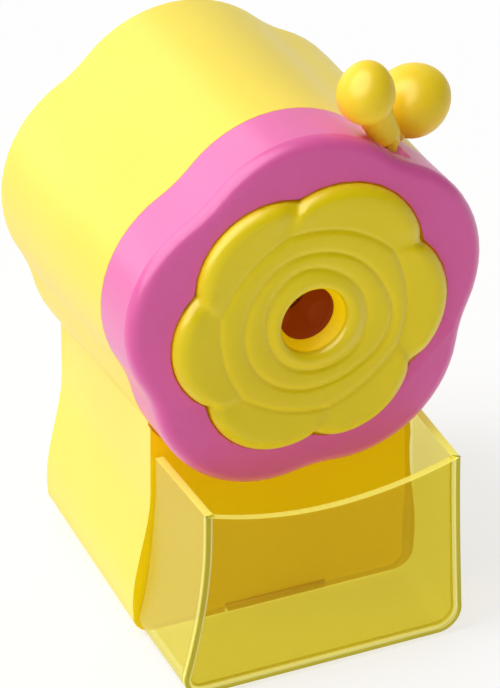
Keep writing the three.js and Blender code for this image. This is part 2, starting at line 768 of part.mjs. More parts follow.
function rosePlate() {
  const face = -roseProud;
  const tiers = roseTiers.map(([radius, height]) => turned(
    [[0, 0], [radius, 0], [radius, face - height + roseTierEdge], [radius - roseTierEdge, face - height],
      [0, face - height]],
    0, axisHeight, 44,
  ));
  const top = face - roseTiers.at(-1)[1];
  return cut(
    join(
      roundedFront((offset) => rose(offset), roseEdge, face, rosePocket - clearance),
      ...tiers,
      rod(roseCollarRadius, 0, headFront),
    ),
    turned([
      [0, top - through], [pencilHole + pencilHoleEdge, top - through], [pencilHole + pencilHoleEdge, top],
      [pencilHole, top + pencilHoleEdge], [roseCollarBore, top + pencilHoleDepth],
      [roseCollarBore, headFront + through], [0, headFront + through],
    ], 0, axisHeight, 36),
  );
}
place('rose_plate', rosePlate(), roseYellow);

const postAngles = [30, 150, 270];
const postPlaces = postAngles.map((angle) => polar(postRing, angle));
const jawAngles = Array.from({ length: jawCount }, (_, i) => 90 + (360 * i) / jawCount);
const rodHole = rodRadius + clearance;
const chuckHole = chuckScrewRadius + clearance;

function headPlate() {
  return cut(
    slab(flower(-headWall - clearance), headPlateFront, headPlateBack),
    rod(roseCollarBore + clearance, headPlateFront - through, headPlateBack + through),
    ...mirroredX.map((side) => rod(
      rodHole, headPlateFront - through, headPlateBack + through, side * rodOffset,
    )),
    ...postPlaces.map(([x, z]) => rod(
      chuckHole, headPlateFront - through, headPlateBack + through, x, z, 10,
    )),
    ...postPlaces.map(([x, z]) => rod(
      chuckScrewHeadRadius + clearance, headPlateBack - chuckScrewHeadHeight - 2 * clearance,
      headPlateBack + through, x, z, 16,
    )),
    stemSlot(stemRoot - leverArmWidth - 2 * clearance, headPlateFront - through, headPlateBack + through),
  );
}
place('head_plate', headPlate(), darkPlastic);

function jawGuide() {
  const channels = jawAngles.map((angle) => spin(box(
    0, jawRest + jawLength + jawTravel + 2 * clearance, guideFront - through, guideBack + through,
    axisHeight - jawWidth / 2 - clearance, axisHeight + jawWidth / 2 + clearance,
  ), angle));
  return cut(
    join(
      ring(hubInner, hubOuter, leftRingFront, rightRingBack),
      ring(hubInner, jawGuideRadius, guideFront, guideBack),
      ...postPlaces.map(([x, z]) => rod(postRadius, guideFront, headPlateFront - clearance, x, z, 16)),
    ),
    ...channels,
    ...postPlaces.map(([x, z]) => rod(
      chuckHole, headPlateBack - chuckScrewHeadHeight - chuckScrewLength - 2 * clearance, headPlateBack,
      x, z, 10,
    )),
  );
}
place('jaw_guide', jawGuide(), amberPlastic);
postPlaces.forEach(([x, z], i) => {
  place(`chuck_screw_${i + 1}`, screw(
    x, z, headPlateBack - clearance, chuckScrewLength, chuckScrewRadius, chuckScrewHeadRadius,
    chuckScrewHeadHeight,
  ), steel);
});

// jaw lying along +X, then turned to its place; its two pins run in the levers' slots
function jaw(angle) {
  const half = jawWidth / 2;
  const tip = jawTip / 2;
  const side = [[jawRest, tip], [jawRest + half - tip, half], [jawRest + jawLength, half]];
  const outline = [
    ...side.map(([x, z]) => [x, axisHeight - z]),
    ...side.map(([x, z]) => [x, axisHeight + z]).reverse(),
  ];
  const body = slab(outline, guideFront + jawPlay, guideBack - jawPlay);
  const pin = rod(
    jawPinRadius, leftRingFront + jawPinRecess, rightRingBack - jawPinRecess, jawPinReach, axisHeight, 16,
  );
  return spin(join(body, pin), angle);
}
jawAngles.forEach((angle, i) => place(`jaw_${i + 1}`, jaw(angle), amberPlastic));

// slanted slots that push the jaws out as a lever's ring turns; direction +1 is from +X to +Z
function camSlots(direction, y0, y1) {
  return jawAngles.map((angle) => {
    const radius = jawPinRadius + camRoom;
    const steps = 2;
    const holes = [];
    for (let i = 0; i <= steps; i += 1) {
      const t = i / steps;
      const [x, z] = polar(jawPinReach + jawTravel * t, angle - direction * leverSqueeze * t);
      holes.push(rod(radius, y0, y1, x, z, 12));
    }
    return join(...holes);
  });
}

const reachOf = (ball) => edgeReach(ball.angle) + ball.tall / 2 + ball.stand;

// a ring round the chuck with an arm, a bent stem and a tail for the spring
function lever(direction, ringFront, stem, ball, tailAngle) {
  const ringBack = ringFront + leverPlate;
  const blockFront = Math.min(ringFront, stem.y - stemRadius);
  const blockBack = Math.max(ringBack, stem.y + stemRadius);
  const half = leverArmWidth / 2;
  const at = (radius, angle, y) => {
    const [x, z] = polar(radius, angle);
    return new THREE.Vector3(x, y, z);
  };
  const armBox = (inner, y0, y1) => spin(
    box(inner, stemRoot, y0, y1, axisHeight - half, axisHeight + half), stem.angle,
  );
  const ballReach = reachOf(ball);
  const stemKnee = valleyDepth + kneeRise;
  const arm = join(
    armBox(ringOuter - leverPlate, ringFront, ringBack),
    armBox(stemRoot - leverArmWidth, blockFront, blockBack),
    bar([at(stemRoot - overlap, stem.angle, stem.y), at(valleyDepth, stem.angle, stem.y),
      at(stemKnee, stem.angle, stem.y), at(ballReach, ball.angle, ball.y)], stemRadius, 14),
  );
  const middle = (guideFront + guideBack) / 2;
  const springReach = leverSpringRadius + leverSpringWire + clearance;
  const tailPost = ringFront < guideFront
    ? rod(tailPostRadius, ringFront, middle + springReach, ...polar(tailRing, tailAngle), 16)
    : rod(tailPostRadius, middle - springReach, ringBack, ...polar(tailRing, tailAngle), 16);
  const ringPlate = cut(
    join(
      ring(hubOuter + clearance, ringOuter, ringFront, ringBack),
      spin(box(ringOuter - leverPlate, tailRing, ringFront, ringBack,
        axisHeight - tailWidth / 2, axisHeight + tailWidth / 2), tailAngle),
    ),
    ...camSlots(direction, ringFront - through, ringBack + through),
  );
  return cut(join(ringPlate, arm, tailPost), ballSolid(ball, 1 + (2 * clearance) / ball.across));
}
// egg-shaped ball, its long axis along its stem
function ballSolid(ball, scale = 1) {
  const [x, z] = polar(reachOf(ball), ball.angle);
  const [across, tall] = [ball.across * scale, ball.tall * scale];
  return new THREE.SphereGeometry(0.5, 22, 15).scale(across, across, tall)
    .rotateY(((90 - ball.lean) * Math.PI) / 180).translate(x, ball.y, z);
}
place('left_lever', lever(-1, leftRingFront, leftStem, leftBall, leftTail), leverYellow);
place('right_lever', lever(1, rightRingFront, rightStem, rightBall, rightTail), leverYellow);
place('left_ball_grip', ballSolid(leftBall), leverYellow);
place('right_ball_grip', ballSolid(rightBall), leverYellow);

// coil between the two tails, which pulls the balls apart again
function leverSpring() {
  const [x0, z0] = polar(tailRing, leftTail);
  const [x1, z1] = polar(tailRing, rightTail);
  const span = Math.hypot(x1 - x0, z1 - z0);
  const inset = tailPostRadius + clearance;
  const slope = Math.atan2(z1 - z0, x1 - x0);
  return spring(leverSpringRadius, leverSpringWire, span - 2 * inset, leverSpringTurns)
    .translate(0, inset, 0).rotateZ(-Math.PI / 2).rotateY(-slope)
    .translate(x0, (guideFront + guideBack) / 2, z0);
}
place('lever_spring', leverSpring(), steel);

// guide rods, which carry the head, and the springs that pull it back to the body
const rodFront = headPlateFront - clearance - rodHeadThickness;
const rodBack = rodFront + rodLength;
const clipBack = rodBack - rodTail;
const clipFront = clipBack - clipThickness;
const bushFront = bodyFront + clearance;
const bushBack = bushFront + bushLength;
mirroredX.forEach((side) => {
  const name = side < 0 ? 'left' : 'right';
  const x = side * rodOffset;
  place(`guide_rod_${name}`, join(
    rod(rodRadius, rodFront, rodBack, x, axisHeight, 14),
    rod(rodHeadRadius, rodFront, rodFront + rodHeadThickness, x, axisHeight, 18),
  ), steel);
  place(`rod_clip_${name}`, ring(rodHole, clipRadius, clipFront, clipBack, x, axisHeight, 18), darkSteel);
  place(`rod_bush_${name}`, ring(bushInner, rodBushOuter, bushFront, bushBack, x, axisHeight, 18), brass);
  const feedSpring = spring(
    springCoilRadius, springWire, clipFront - bushBack - 2 * clearance, springTurns,
  ).translate(x, bushBack + clearance, axisHeight);
  place(`feed_spring_${name}`, feedSpring, steel);
});

// ---------------------------------------------------------------- cutter unit
// the cutter's axis leans towards the pencil's point; s runs along it from the point
const pencilTip = bodyBack - pencilTipInset;
const cutterOffset = cutterRadius / cos(pencilConeAngle);
const onCutterAxis = (geometry) => spin(
  geometry.clone().translate(0, 0, -axisHeight).rotateX((-pencilConeAngle * Math.PI) / 180)
    .translate(0, pencilTip, axisHeight + cutterOffset),
  cutterSide - 90,
);
const along = (y) => (y - pencilTip) / cos(pencilConeAngle);
const cutterReachAt = (y) => cutterOffset + (pencilTip - y) * tan(pencilConeAngle);
const pinionPitch = (gearModule * pinionTeeth) / 2;
const pinionFront = gearFront + pinionInset;
const flangeFront = gearFront + gearZone + clearance;
const flangeBack = flangeFront + carrierFlange;
const cutterBack = along(pencilTip) + cutterPast;
const pinionS = along(pinionFront);
const sleeveFront = pinionS + gearWidth + clearance;
const cutterFront = sleeveFront + cutterNeck;
const cutterLength = cutterBack - cutterFront;
const carrierBack = pencilTip + cutterPast + cutterRadius * tan(pencilConeAngle) + clearance;
const carrierEnd = carrierBack + carrierRear;
const hubEnd = carrierEnd + hubLength;
const axleBore = axleRadius + clearance;

// tooth outline round the pencil axis; inward teeth for the ring gear
function toothed(teeth, pitch, inward, phase) {
  const points = [];
  const sign = inward ? -1 : 1;
  for (let i = 0; i < teeth; i += 1) {
    const middle = phase + (360 * i) / teeth;
    const step = 360 / teeth;
    const tip = pitch + sign * toothReach;
    const root = pitch - sign * (toothReach + rootRelief);
    const tipHalf = ((toothShare - toothTaper) * step) / 2;
    const rootHalf = ((toothShare + toothTaper) * step) / 2;
    points.push(polar(root, middle - rootHalf), polar(tip, middle - tipHalf));
    points.push(polar(tip, middle + tipHalf), polar(root, middle + rootHalf));
  }
  return points;
}
function ringGear() {
  const pitchAt = (y) => cutterReachAt(y) + pinionPitch / cos(pencilConeAngle);
  const phase = cutterSide + 180 / ringTeeth; // a space faces the pinion
  const teethFront = gearFront - through;
  const teethBack = gearFront + gearZone;
  return cut(
    rod(ringGearOuter, gearFront, gearBack, 0, axisHeight, 48),
    loft([
      { y: teethFront, points: toothed(ringTeeth, pitchAt(teethFront), true, phase) },
      { y: teethBack, points: toothed(ringTeeth, pitchAt(teethBack), true, phase) },
    ]),
    rod(sleeveInner, teethBack - overlap, gearBack + through, 0, axisHeight, 48),
  );
}
place('ring_gear', ringGear(), steel);

function pinion() {
  const teeth = slab(toothed(pinionTeeth, pinionPitch, false, 90), pinionS, pinionS + gearWidth);
  const bore = rod(axleBore, pinionS - through, pinionS + gearWidth + through, 0, axisHeight, 20);
  return onCutterAxis(cut(teeth, bore));
}
place('cutter_pinion', pinion(), darkSteel);

// fluted cutter: a star outline that twists along its length
function cutter() {
  const steps = 7;
  const rootRadius = cutterRadius * cutterRoot;
  const sections = [];
  for (let i = 0; i <= steps; i += 1) {
    const turn = (cutterTwist * i) / steps;
    const points = [];
    for (let tooth = 0; tooth < cutterTeeth; tooth += 1) {
      const start = turn + (360 * tooth) / cutterTeeth;
      const step = 360 / cutterTeeth;
      points.push(polar(cutterRadius, start), polar(cutterRadius, start + 0.16 * step));
      points.push(polar(rootRadius, start + 0.3 * step), polar(rootRadius, start + 0.62 * step));
    }
    sections.push({ y: cutterFront + (cutterLength * i) / steps, points });
  }
  const body = join(
    loft(sections),
    rod(sleeveRadius, sleeveFront, cutterFront + overlap, 0, axisHeight, 24),
  );
  const bore = rod(axleBore, sleeveFront - through, cutterBack + through, 0, axisHeight, 20);
  return onCutterAxis(cut(body, bore));
}
place('helical_cutter', cutter(), darkSteel);

const axleFront = pinionS - axleLead;
const axleBack = along(carrierBack + axleSeat);
place('cutter_axle', onCutterAxis(rod(axleRadius, axleFront, axleBack, 0, axisHeight, 20)), steel);

function carrier() {
  const rails = [0, 90, 180].map((angle) => spin(box(
    railInner, railOuter, flangeFront + railOverlap, carrierBack + railOverlap,
    axisHeight - railWidth / 2, axisHeight + railWidth / 2,
  ), angle));
  const reach = sleeveInner - clearance;
  return cut(
    join(
      rod(reach, flangeFront, flangeBack, 0, axisHeight, 40),
      ...rails,
      rod(carrierRearRadius, carrierBack, carrierEnd, 0, axisHeight, 40),
      rod(hubRadius, carrierEnd - overlap, hubEnd, 0, axisHeight, 40),
    ),
    rod(pencilBore, flangeFront - through, flangeBack + through, 0, axisHeight, 32),
    onCutterAxis(rod(
      sleeveRadius + clearance, along(flangeFront) - carrierFlange, along(flangeBack) + carrierFlange,
      0, axisHeight, 24,
    )),
    onCutterAxis(rod(axleBore, along(flangeBack), axleBack + clearance, 0, axisHeight, 20)),
    rod(shaftRadius + clearance, carrierEnd - shaftSocket, hubEnd + through),
  );
}
place('cutter_carrier', carrier(), darkSteel);

// ---------------------------------------------------------------- crank
const bushEnd = coverBack + bushProud;
const crankFront = bushEnd + crankGap;
const crankBack = crankFront + crankHubDepth;
const shaftEnd = crankBack - clearance;
const armFront = crankFront + crankHubStep;
const armBack = armFront + crankArmThickness;
const knobZ = axisHeight - crankThrow;
const knobFront = armBack + knobRise;
const knobBack = knobFront + knobLength;
const crankScrewHole = crankScrewRadius + clearance;
const rivetFront = knobBack - rivetRecess - rivetHeight;

place('crank_bush', ring(
  shaftRadius + clearance, bushOuter, bushEnd - bushDepth + clearance, bushEnd,
), brass);
place('crank_shaft', cut(
  rod(shaftRadius, carrierEnd - shaftSocket + clearance, shaftEnd),
  rod(crankScrewHole, shaftEnd - crankScrewLength - clearance, shaftEnd + through, 0, axisHeight, 20),
), steel);
function crankArm() {
  const outline = [];
  const taper = (Math.asin((crankHubRadius - crankHubStep - crankBossRadius) / crankThrow) * 180) / Math.PI;
  const topRadius = crankHubRadius - crankHubStep;
  for (let i = 0; i <= 12; i += 1) {
    const angle = -taper + ((180 + 2 * taper) * i) / 12;
    outline.push([topRadius * cos(angle), axisHeight + topRadius * sin(angle)]);
  }
  for (let i = 0; i <= 12; i += 1) {
    const angle = 180 + taper + ((180 - 2 * taper) * i) / 12;
    outline.push([crankBossRadius * cos(angle), knobZ + crankBossRadius * sin(angle)]);
  }
  return cut(
    join(slab(outline, armFront, armBack), rod(crankHubRadius, crankFront, crankBack)),
    rod(shaftRadius + clearance, crankFront - through, crankBack + through),
    rod(knobPinRadius + clearance, armFront - through, armBack + through, 0, knobZ, 16),
  );
}
place('crank_arm', crankArm(), yellow);
place('crank_screw', screw(
  0, axisHeight, crankBack + clearance + crankScrewHeadHeight, crankScrewLength,
  crankScrewRadius, crankScrewHead, crankScrewHeadHeight,
), steel);
place('knob_pin', join(
  rod(knobPinRadius, armFront, rivetFront + overlap, 0, knobZ, 16),
  rod(rivetRadius, rivetFront, knobBack - rivetRecess, 0, knobZ, 18),
), steel);
place('crank_knob', cut(
  turned([[0, knobFront], [knobNeck, knobFront], [knobNeck + 0.6, knobFront + 1.5],
    [knobNeck + 0.4, knobFront + 4], [knobRadius, knobBack - 7], [knobRadius, knobBack - 3],
    [knobRadius - 0.8, knobBack - 1], [knobRadius - 2.2, knobBack], [0, knobBack]], 0, knobZ, 40),
  rod(knobPinRadius + clearance, knobFront - through, knobBack + through, 0, knobZ, 16),
  rod(rivetRadius + clearance, rivetFront - clearance, knobBack + through, 0, knobZ, 18),
), pink);

part.position.y = -(binFront + knobBack) / 2;
export default part;
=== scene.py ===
# %% [markdown]
# # A flower-shaped desk sharpener, dressed in Blender
#
# The engineer's solids are already made and packed. They are the fixed frame: every
# screw, spring and gear has its real place. This lesson adds what the eye needs:
# soft moulded edges, a carved rose, a clear bin, and plastics that look like plastic.
# Everything is in metres, with the desk at z = 0 and the front of the object facing -Y.

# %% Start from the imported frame
import json
import math

import bmesh
import bpy
from mathutils import Matrix, Vector


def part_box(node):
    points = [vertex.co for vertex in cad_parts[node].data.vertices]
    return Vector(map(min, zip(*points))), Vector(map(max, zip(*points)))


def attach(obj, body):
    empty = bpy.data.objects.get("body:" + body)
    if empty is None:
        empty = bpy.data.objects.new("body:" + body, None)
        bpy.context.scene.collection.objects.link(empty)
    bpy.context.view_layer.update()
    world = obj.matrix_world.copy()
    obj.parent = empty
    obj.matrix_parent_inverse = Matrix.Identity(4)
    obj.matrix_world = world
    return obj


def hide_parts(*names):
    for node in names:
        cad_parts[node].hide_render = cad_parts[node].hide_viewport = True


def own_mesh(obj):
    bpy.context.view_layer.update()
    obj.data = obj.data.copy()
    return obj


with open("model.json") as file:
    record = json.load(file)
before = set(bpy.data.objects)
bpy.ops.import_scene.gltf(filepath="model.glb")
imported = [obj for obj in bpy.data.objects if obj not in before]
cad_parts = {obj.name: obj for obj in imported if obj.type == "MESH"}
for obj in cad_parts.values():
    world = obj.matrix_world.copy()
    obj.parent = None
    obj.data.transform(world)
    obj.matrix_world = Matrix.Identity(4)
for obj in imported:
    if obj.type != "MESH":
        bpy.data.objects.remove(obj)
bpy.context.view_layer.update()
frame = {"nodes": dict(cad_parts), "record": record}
nodes = frame["nodes"]
MM = 0.001

# %% [markdown]
# ## Camera
#
# A small product is best seen through a long lens from a little above, so that parallel
# edges stay nearly parallel. The camera looks down at about 31 degrees, from about
# 25 degrees to the left of the front. It aims near the pencil's hole.

# %% Camera
head_low, head_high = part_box("head_cover")
axis_height = (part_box("crank_bush")[0].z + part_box("crank_bush")[1].z) / 2
aim = Vector((-12.6 * MM, head_low.y + 2.7 * MM, axis_height - 4.8 * MM))


def look(azimuth, elevation, roll, distance):
    """A camera's matrix, turned round the aim and rolled about its own line of sight."""
    turn, rise = math.radians(azimuth), math.radians(elevation)
    back = Vector((-math.sin(turn) * math.cos(rise), -math.cos(turn) * math.cos(rise), math.sin(rise)))
    place = back.to_track_quat("Z", "Y").to_matrix().to_4x4()
    return Matrix.Translation(aim + back * distance) @ place @ Matrix.Rotation(math.radians(roll), 4, "Z")


lens = bpy.data.cameras.new("long_lens")
lens.lens = 164.7
lens.sensor_width = 36
lens.clip_start = 0.02
lens.clip_end = 20
camera = bpy.data.objects.new("camera", lens)
bpy.context.scene.collection.objects.link(camera)
camera.matrix_world = look(24.97, 30.81, 1.0, 0.65)
bpy.context.scene.camera = camera
print("camera at", [round(c, 3) for c in camera.matrix_world.translation])

# %% [markdown]
# ## Shader maths as plain sums
#
# Materials are graphs of nodes. Written node by node they are long, so a small class
# wraps a socket and lets Python's own operators add the Math nodes: `0.3 + dust * 0.5`
# becomes two nodes. Any other node comes from one method.

# %% A socket that can be added and multiplied
class Socket:
    def __init__(self, finish, out):
        self.finish = finish
        self.out = out

    def maths(self, operation, a, b):
        return self.finish.node("Math", {"operation": operation}, {0: a, 1: b})

    def __add__(self, other):
        return self.maths("ADD", self, other)

    def __mul__(self, other):
        return self.maths("MULTIPLY", self, other)

    def __pow__(self, other):
        return self.maths("POWER", self, other)

    __radd__ = __add__
    __rmul__ = __mul__


# %% A finish, which is one material
def linear(red, green, blue):
    """A colour given as screen values from 0 to 255, as the shader needs it."""
    def one(value):
        value /= 255
        return value / 12.92 if value <= 0.04045 else ((value + 0.055) / 1.055) ** 2.4
    return (one(red), one(green), one(blue), 1.0)


class Bench:
    """A graph of nodes, of a material or of the studio's surroundings."""

    def __init__(self, tree):
        self.tree = tree

    def node(self, kind, settings=None, inputs=None, out=0):
        made = self.tree.nodes.new("ShaderNode" + kind)
        for name, value in (settings or {}).items():
            setattr(made, name, value)
        for name, value in (inputs or {}).items():
            if isinstance(value, Socket):
                self.tree.links.new(value.out, made.inputs[name])
            else:
                made.inputs[name].default_value = value
        return Socket(self, made.outputs[out])

    def spread(self, value, low, high, start=0.0, end=1.0, soft=False):
        """Maps a value from the range low to high onto start to end, with soft ends if asked."""
        kind = {"interpolation_type": "SMOOTHSTEP" if soft else "LINEAR"}
        return self.node("MapRange", kind, {"Value": value, 1: low, 2: high, 3: start, 4: end})


class Finish(Bench):
    """A material with one Principled shader, and ways to feed it."""

    def __init__(self, name, **plain):
        self.material = bpy.data.materials.new(name)
        self.material.use_nodes = True
        super().__init__(self.material.node_tree)
        self.shader = self.tree.nodes["Principled BSDF"]
        for socket, value in plain.items():
            self.shader.inputs[socket.replace("_", " ").title().replace("Ior", "IOR")].default_value = value

    def feed(self, socket, value):
        self.tree.links.new(value.out, self.shader.inputs[socket])

    def place(self):
        return self.node("TexCoord", out="Object")

    def noise(self, size, detail=2.0, roughness=0.5):
        """Cloudy noise whose blobs are about `size` metres wide."""
        settings = {"noise_dimensions": "3D"}
        return self.node("TexNoise", settings, {
            "Vector": self.place(), "Scale": 1 / size, "Detail": detail, "Roughness": roughness})

    def blend(self, share, first, second):
        """A colour mix; share is a socket."""
        mix = {"data_type": "RGBA", "blend_type": "MIX"}
        return self.node("Mix", mix, {"Factor": share, 6: first, 7: second}, out=2)

    def bump(self, height, depth, strength=1.0):
        """Raises the surface by `depth` metres where height is 1."""
        self.feed("Normal", self.node("Bump", {}, {
            "Strength": strength, "Distance": depth, "Height": height}))


print("the finishing bench is ready")

# %% [markdown]
# ## Moulded plastics
#
# The real shell is injection-moulded ABS with a fine satin skin. It isn't one flat
# colour: the pigment drifts a little, the skin has a grain far finer than a millimetre,
# and handling leaves slightly shinier patches. One recipe makes all the plastics, and
# only the colours and the gloss differ.

# %% The moulded plastics
GRAIN_SIZE, GRAIN_DEPTH = 0.22 * MM, 0.004 * MM
PIGMENT_DRIFT, MOTTLE_SIZE, WORN_PATCH = 35 * MM, 1.6 * MM, 22 * MM


def moulded(name, colour, deep, roughness, gloss, shine=0.3, skin_ior=1.5):
    """Satin ABS: drifting pigment, a fine grain, and patches polished by hands.

    The clear skin over it shows most on slanted faces, and less again at a grazing angle.
    """
    skin = Finish(name, coat_roughness=0.3, specular_ior_level=shine, coat_ior=skin_ior)
    facing = skin.node("LayerWeight", {}, {"Blend": 0.5}, out="Facing")
    rise = skin.spread(facing, 0.2, 0.55, 0.0, gloss, soft=True)
    fall = skin.spread(facing, 0.66, 0.86, 1.0, 0.4, soft=True)
    skin.feed("Coat Weight", rise * fall)
    drift = skin.noise(PIGMENT_DRIFT, 3.0)
    mottle = skin.noise(MOTTLE_SIZE, 2.0)
    share = skin.spread(drift * 0.75 + mottle * 0.25, 0.35, 0.65)
    skin.feed("Base Color", skin.blend(share, linear(*colour), linear(*deep)))
    worn = skin.spread(skin.noise(WORN_PATCH, 4.0, 0.6), 0.4, 0.62)
    skin.feed("Roughness", roughness + worn * 0.05 + mottle * 0.03)
    skin.bump(skin.noise(GRAIN_SIZE, 2.0) + mottle * 0.6, GRAIN_DEPTH)
    return skin.material


body_yellow = moulded("body_yellow", (255, 230, 74), (252, 225, 64), 0.36, gloss=0.4)
# Painted shade: a deeper, more saturated copy of the body's yellow for the shaded front wall, with a
# painted glow set below.
front_painted_shade = moulded("front_painted_shade", (255, 222, 4), (252, 216, 3), 0.42, gloss=0.1, shine=0.1)
rose_yellow = moulded("rose_yellow", (244, 219, 12), (240, 213, 8), 0.24, gloss=0.5, shine=0.26)
# Painted light: the wall of the pencil's hole keeps the plastic's yellow, and a glow set below stands in
# for light in the shaded hole.
mouth_painted_glow = moulded("mouth_painted_glow", (255, 224, 8), (252, 218, 6), 0.3, gloss=0.2)
head_pink = moulded("head_pink", (236, 103, 174), (232, 97, 168), 0.27, gloss=0.7, shine=0.24, skin_ior=1.6)
grip_gold = moulded("grip_gold", (255, 224, 46), (252, 213, 34), 0.3, gloss=0.05, shine=0.22)
# Painted shade: the throat of the hole is a dark reddish brown that stands in for its deep shade, with a
# painted glow set below.
throat_painted_shade = moulded("throat_painted_shade", (84, 30, 3), (72, 25, 2), 0.7, gloss=0.0, shine=0.1)
# Painted shade and light: the pocket round the rose is a dark orange and the levers' slot is a pink, each
# with a glow set below that hides their shade.
pocket_painted_glow = moulded("pocket_painted_glow", (150, 84, 6), (140, 76, 5), 0.6, gloss=0.0, shine=0.1)
slot_painted_glow = moulded("slot_painted_glow", (226, 110, 168), (220, 104, 160), 0.5, gloss=0.0, shine=0.1)
# Painted shade: the dark works and the jaws deep in the hole are a dark reddish brown like the shaded
# throat, with a painted glow set below.
brown_painted_shade = moulded("brown_painted_shade", (78, 34, 10), (66, 29, 8), 0.6, gloss=0.1, shine=0.1)
jaw_painted_shade = moulded("jaw_painted_shade", (84, 30, 3), (72, 25, 2), 0.7, gloss=0.0, shine=0.1)


def paint_glow(material, colour, strength):
    """Painted light: a glow in the colour that stands in for the light and bounce reaching a shaded face or
    a narrow gap; it is no lamp.
    """
    shader = material.node_tree.nodes["Principled BSDF"]
    shader.inputs["Emission Color"].default_value = linear(*colour)
    shader.inputs["Emission Strength"].default_value = strength


# Painted light: these glows stand in for light in the throat, the jaws and the dark works, the pocket, the
# mouth, the levers' slot and the shaded front.
paint_glow(throat_painted_shade, (118, 41, 1), 0.95)
paint_glow(jaw_painted_shade, (118, 41, 1), 0.95)
paint_glow(brown_painted_shade, (118, 41, 1), 0.95)
paint_glow(pocket_painted_glow, (176, 92, 0), 0.6)
paint_glow(mouth_painted_glow, (220, 182, 0), 0.3)
paint_glow(slot_painted_glow, (176, 108, 140), 0.35)
paint_glow(front_painted_shade, (150, 124, 0), 0.3)
print("plastics:", [m.name for m in bpy.data.materials if m.users == 0])

# %% [markdown]
# ## Metals and rubber
#
# Turned parts carry fine rings from the lathe, springs are drawn wire, and the rubber
# feet are matt with a little dust in their grain.

# %% Metals and rubber
def turned_metal(name, colour, dark, roughness):
    metal = Finish(name, metallic=1.0)
    lines = metal.node("TexWave", {"wave_type": "BANDS", "bands_direction": "DIAGONAL"}, {
        "Vector": metal.place(), "Scale": 1400.0, "Distortion": 1.5, "Detail": 2.0})
    tarnish = metal.noise(0.004, 4.0, 0.6)
    metal.feed("Base Color", metal.blend(tarnish * 0.8, linear(*colour), linear(*dark)))
    metal.feed("Roughness", roughness + tarnish * 0.12)
    metal.bump(lines, 0.000006, 0.4)
    return metal.material


bright_steel = turned_metal("bright_steel", (206, 208, 212), (150, 152, 158), 0.24)
tool_steel = turned_metal("tool_steel", (128, 131, 138), (84, 86, 92), 0.3)
bush_brass = turned_metal("bush_brass", (222, 184, 104), (170, 128, 62), 0.28)

foot_rubber = Finish("foot_rubber")
dust = foot_rubber.noise(0.0008, 5.0, 0.7)
foot_rubber.feed("Base Color", foot_rubber.blend(dust ** 2, linear(58, 57, 58), linear(96, 92, 86)))
foot_rubber.feed("Roughness", 0.78 + dust * 0.15)
foot_rubber.bump(dust, 0.00003)
print("metals and rubber are ready")

# %% [markdown]
# ## Clear bin plastic
#
# The bin is clear acrylic with a yellow tint. Seen flat on, a wall lets most light
# through, and the tint takes the blue out of it. Seen edge on, the light has travelled a
# long way in the tint, so rims and corners look dense and saturated. The milky sheen on
# the side that faces the light is painted: that side gets a paler, glossier copy of the
# wall, and the rims and pale corner lines get a painted glow. Real refraction would need
# far more light paths than it is worth, so each wall mixes a tinted clear shader with a
# glossy one, and the share of gloss grows at a glancing angle.

# %% Clear plastic, flat on and edge on
def clear(name, colour, tint, flat, glance, roughness, polish):
    """Tinted clear plastic; flat and glance are its shares of gloss seen flat on and edge on."""
    plastic = Finish(name, roughness=roughness, coat_weight=polish, coat_roughness=0.06)
    smear = plastic.noise(0.02, 4.0, 0.6)
    worn = [channel * 0.97 for channel in colour]
    plastic.feed("Base Color", plastic.blend(smear, linear(*colour), linear(*worn)))
    plastic.bump(smear, 0.00002, 0.3)
    facing = plastic.node("LayerWeight", {}, {"Blend": 0.45}, out="Facing")
    share = flat + (facing ** 2) * (glance - flat) + smear * 0.04
    through = plastic.node("BsdfTransparent", {}, {"Color": linear(*tint)})
    glossy = Socket(plastic, plastic.shader.outputs[0])
    both = plastic.node("MixShader", {}, {0: share, 1: through, 2: glossy})
    plastic.tree.links.new(both.out, plastic.tree.nodes["Material Output"].inputs["Surface"])
    return plastic.material


wall_tint = (250, 246, 190)
bin_wall = clear("bin_wall", (238, 224, 66), wall_tint, 0.07, 0.24, roughness=0.2, polish=0.2)
# Painted sheen: a paler, glossier copy of the wall for the side that faces the light.
bin_painted_sheen = clear("bin_painted_sheen", (255, 246, 116), wall_tint, 0.3, 0.44, roughness=0.3, polish=0.2)
bin_back_edge = clear(
    "bin_back_edge", (244, 236, 120), (252, 250, 214), 0.03, 0.08, roughness=0.2, polish=0.1)
bin_dense = clear("bin_dense", (206, 194, 2), (232, 222, 40), 0.8, 0.9, roughness=0.5, polish=0.0)
# Painted highlight: the pale lines along the front corners.
bin_painted_highlight = clear("bin_painted_highlight", (255, 250, 160), (253, 248, 170), 0.5, 0.7, roughness=0.4, polish=0.1)
bin_rim = clear("bin_rim", (248, 238, 112), (246, 236, 110), 0.75, 0.9, roughness=0.45, polish=0.05)
bin_key = clear("bin_key", (255, 214, 4), (244, 220, 60), 0.84, 0.9, roughness=0.5, polish=0.0)
# Painted light: the rims and the pale corner lines glow a little, standing in for light in the head's
# shade.
paint_glow(bin_rim, (170, 178, 62), 0.42)
paint_glow(bin_painted_highlight, (190, 184, 96), 0.3)
print("clear plastic is ready")

# %% [markdown]
# ## From solids to moulded pieces
#
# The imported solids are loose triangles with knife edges. A mould can't have those: every
# outer edge has a small radius. A copy of the solid is merged, its flat faces are made
# whole again, and a Bevel modifier rounds what is left sharp. The solid itself isn't
# touched; the finished copy stands for it.

# %% Finished copies of solids
body_of = {n: b for b, members in frame["record"]["behaviour"]["bodies"].items() for n in members}
slot_of = {row["node"]: row["material_slot"] for row in frame["record"]["subparts"]}


def add_piece(name, mesh, material, body):
    """Links a finished mesh, with one material or a list, as a piece that rides on a body."""
    piece = bpy.data.objects.new(name, mesh)
    bpy.context.scene.collection.objects.link(piece)
    for one in material if isinstance(material, list) else [material]:
        mesh.materials.append(one)
    for face in mesh.polygons:
        face.use_smooth = True
    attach(piece, body)
    return piece


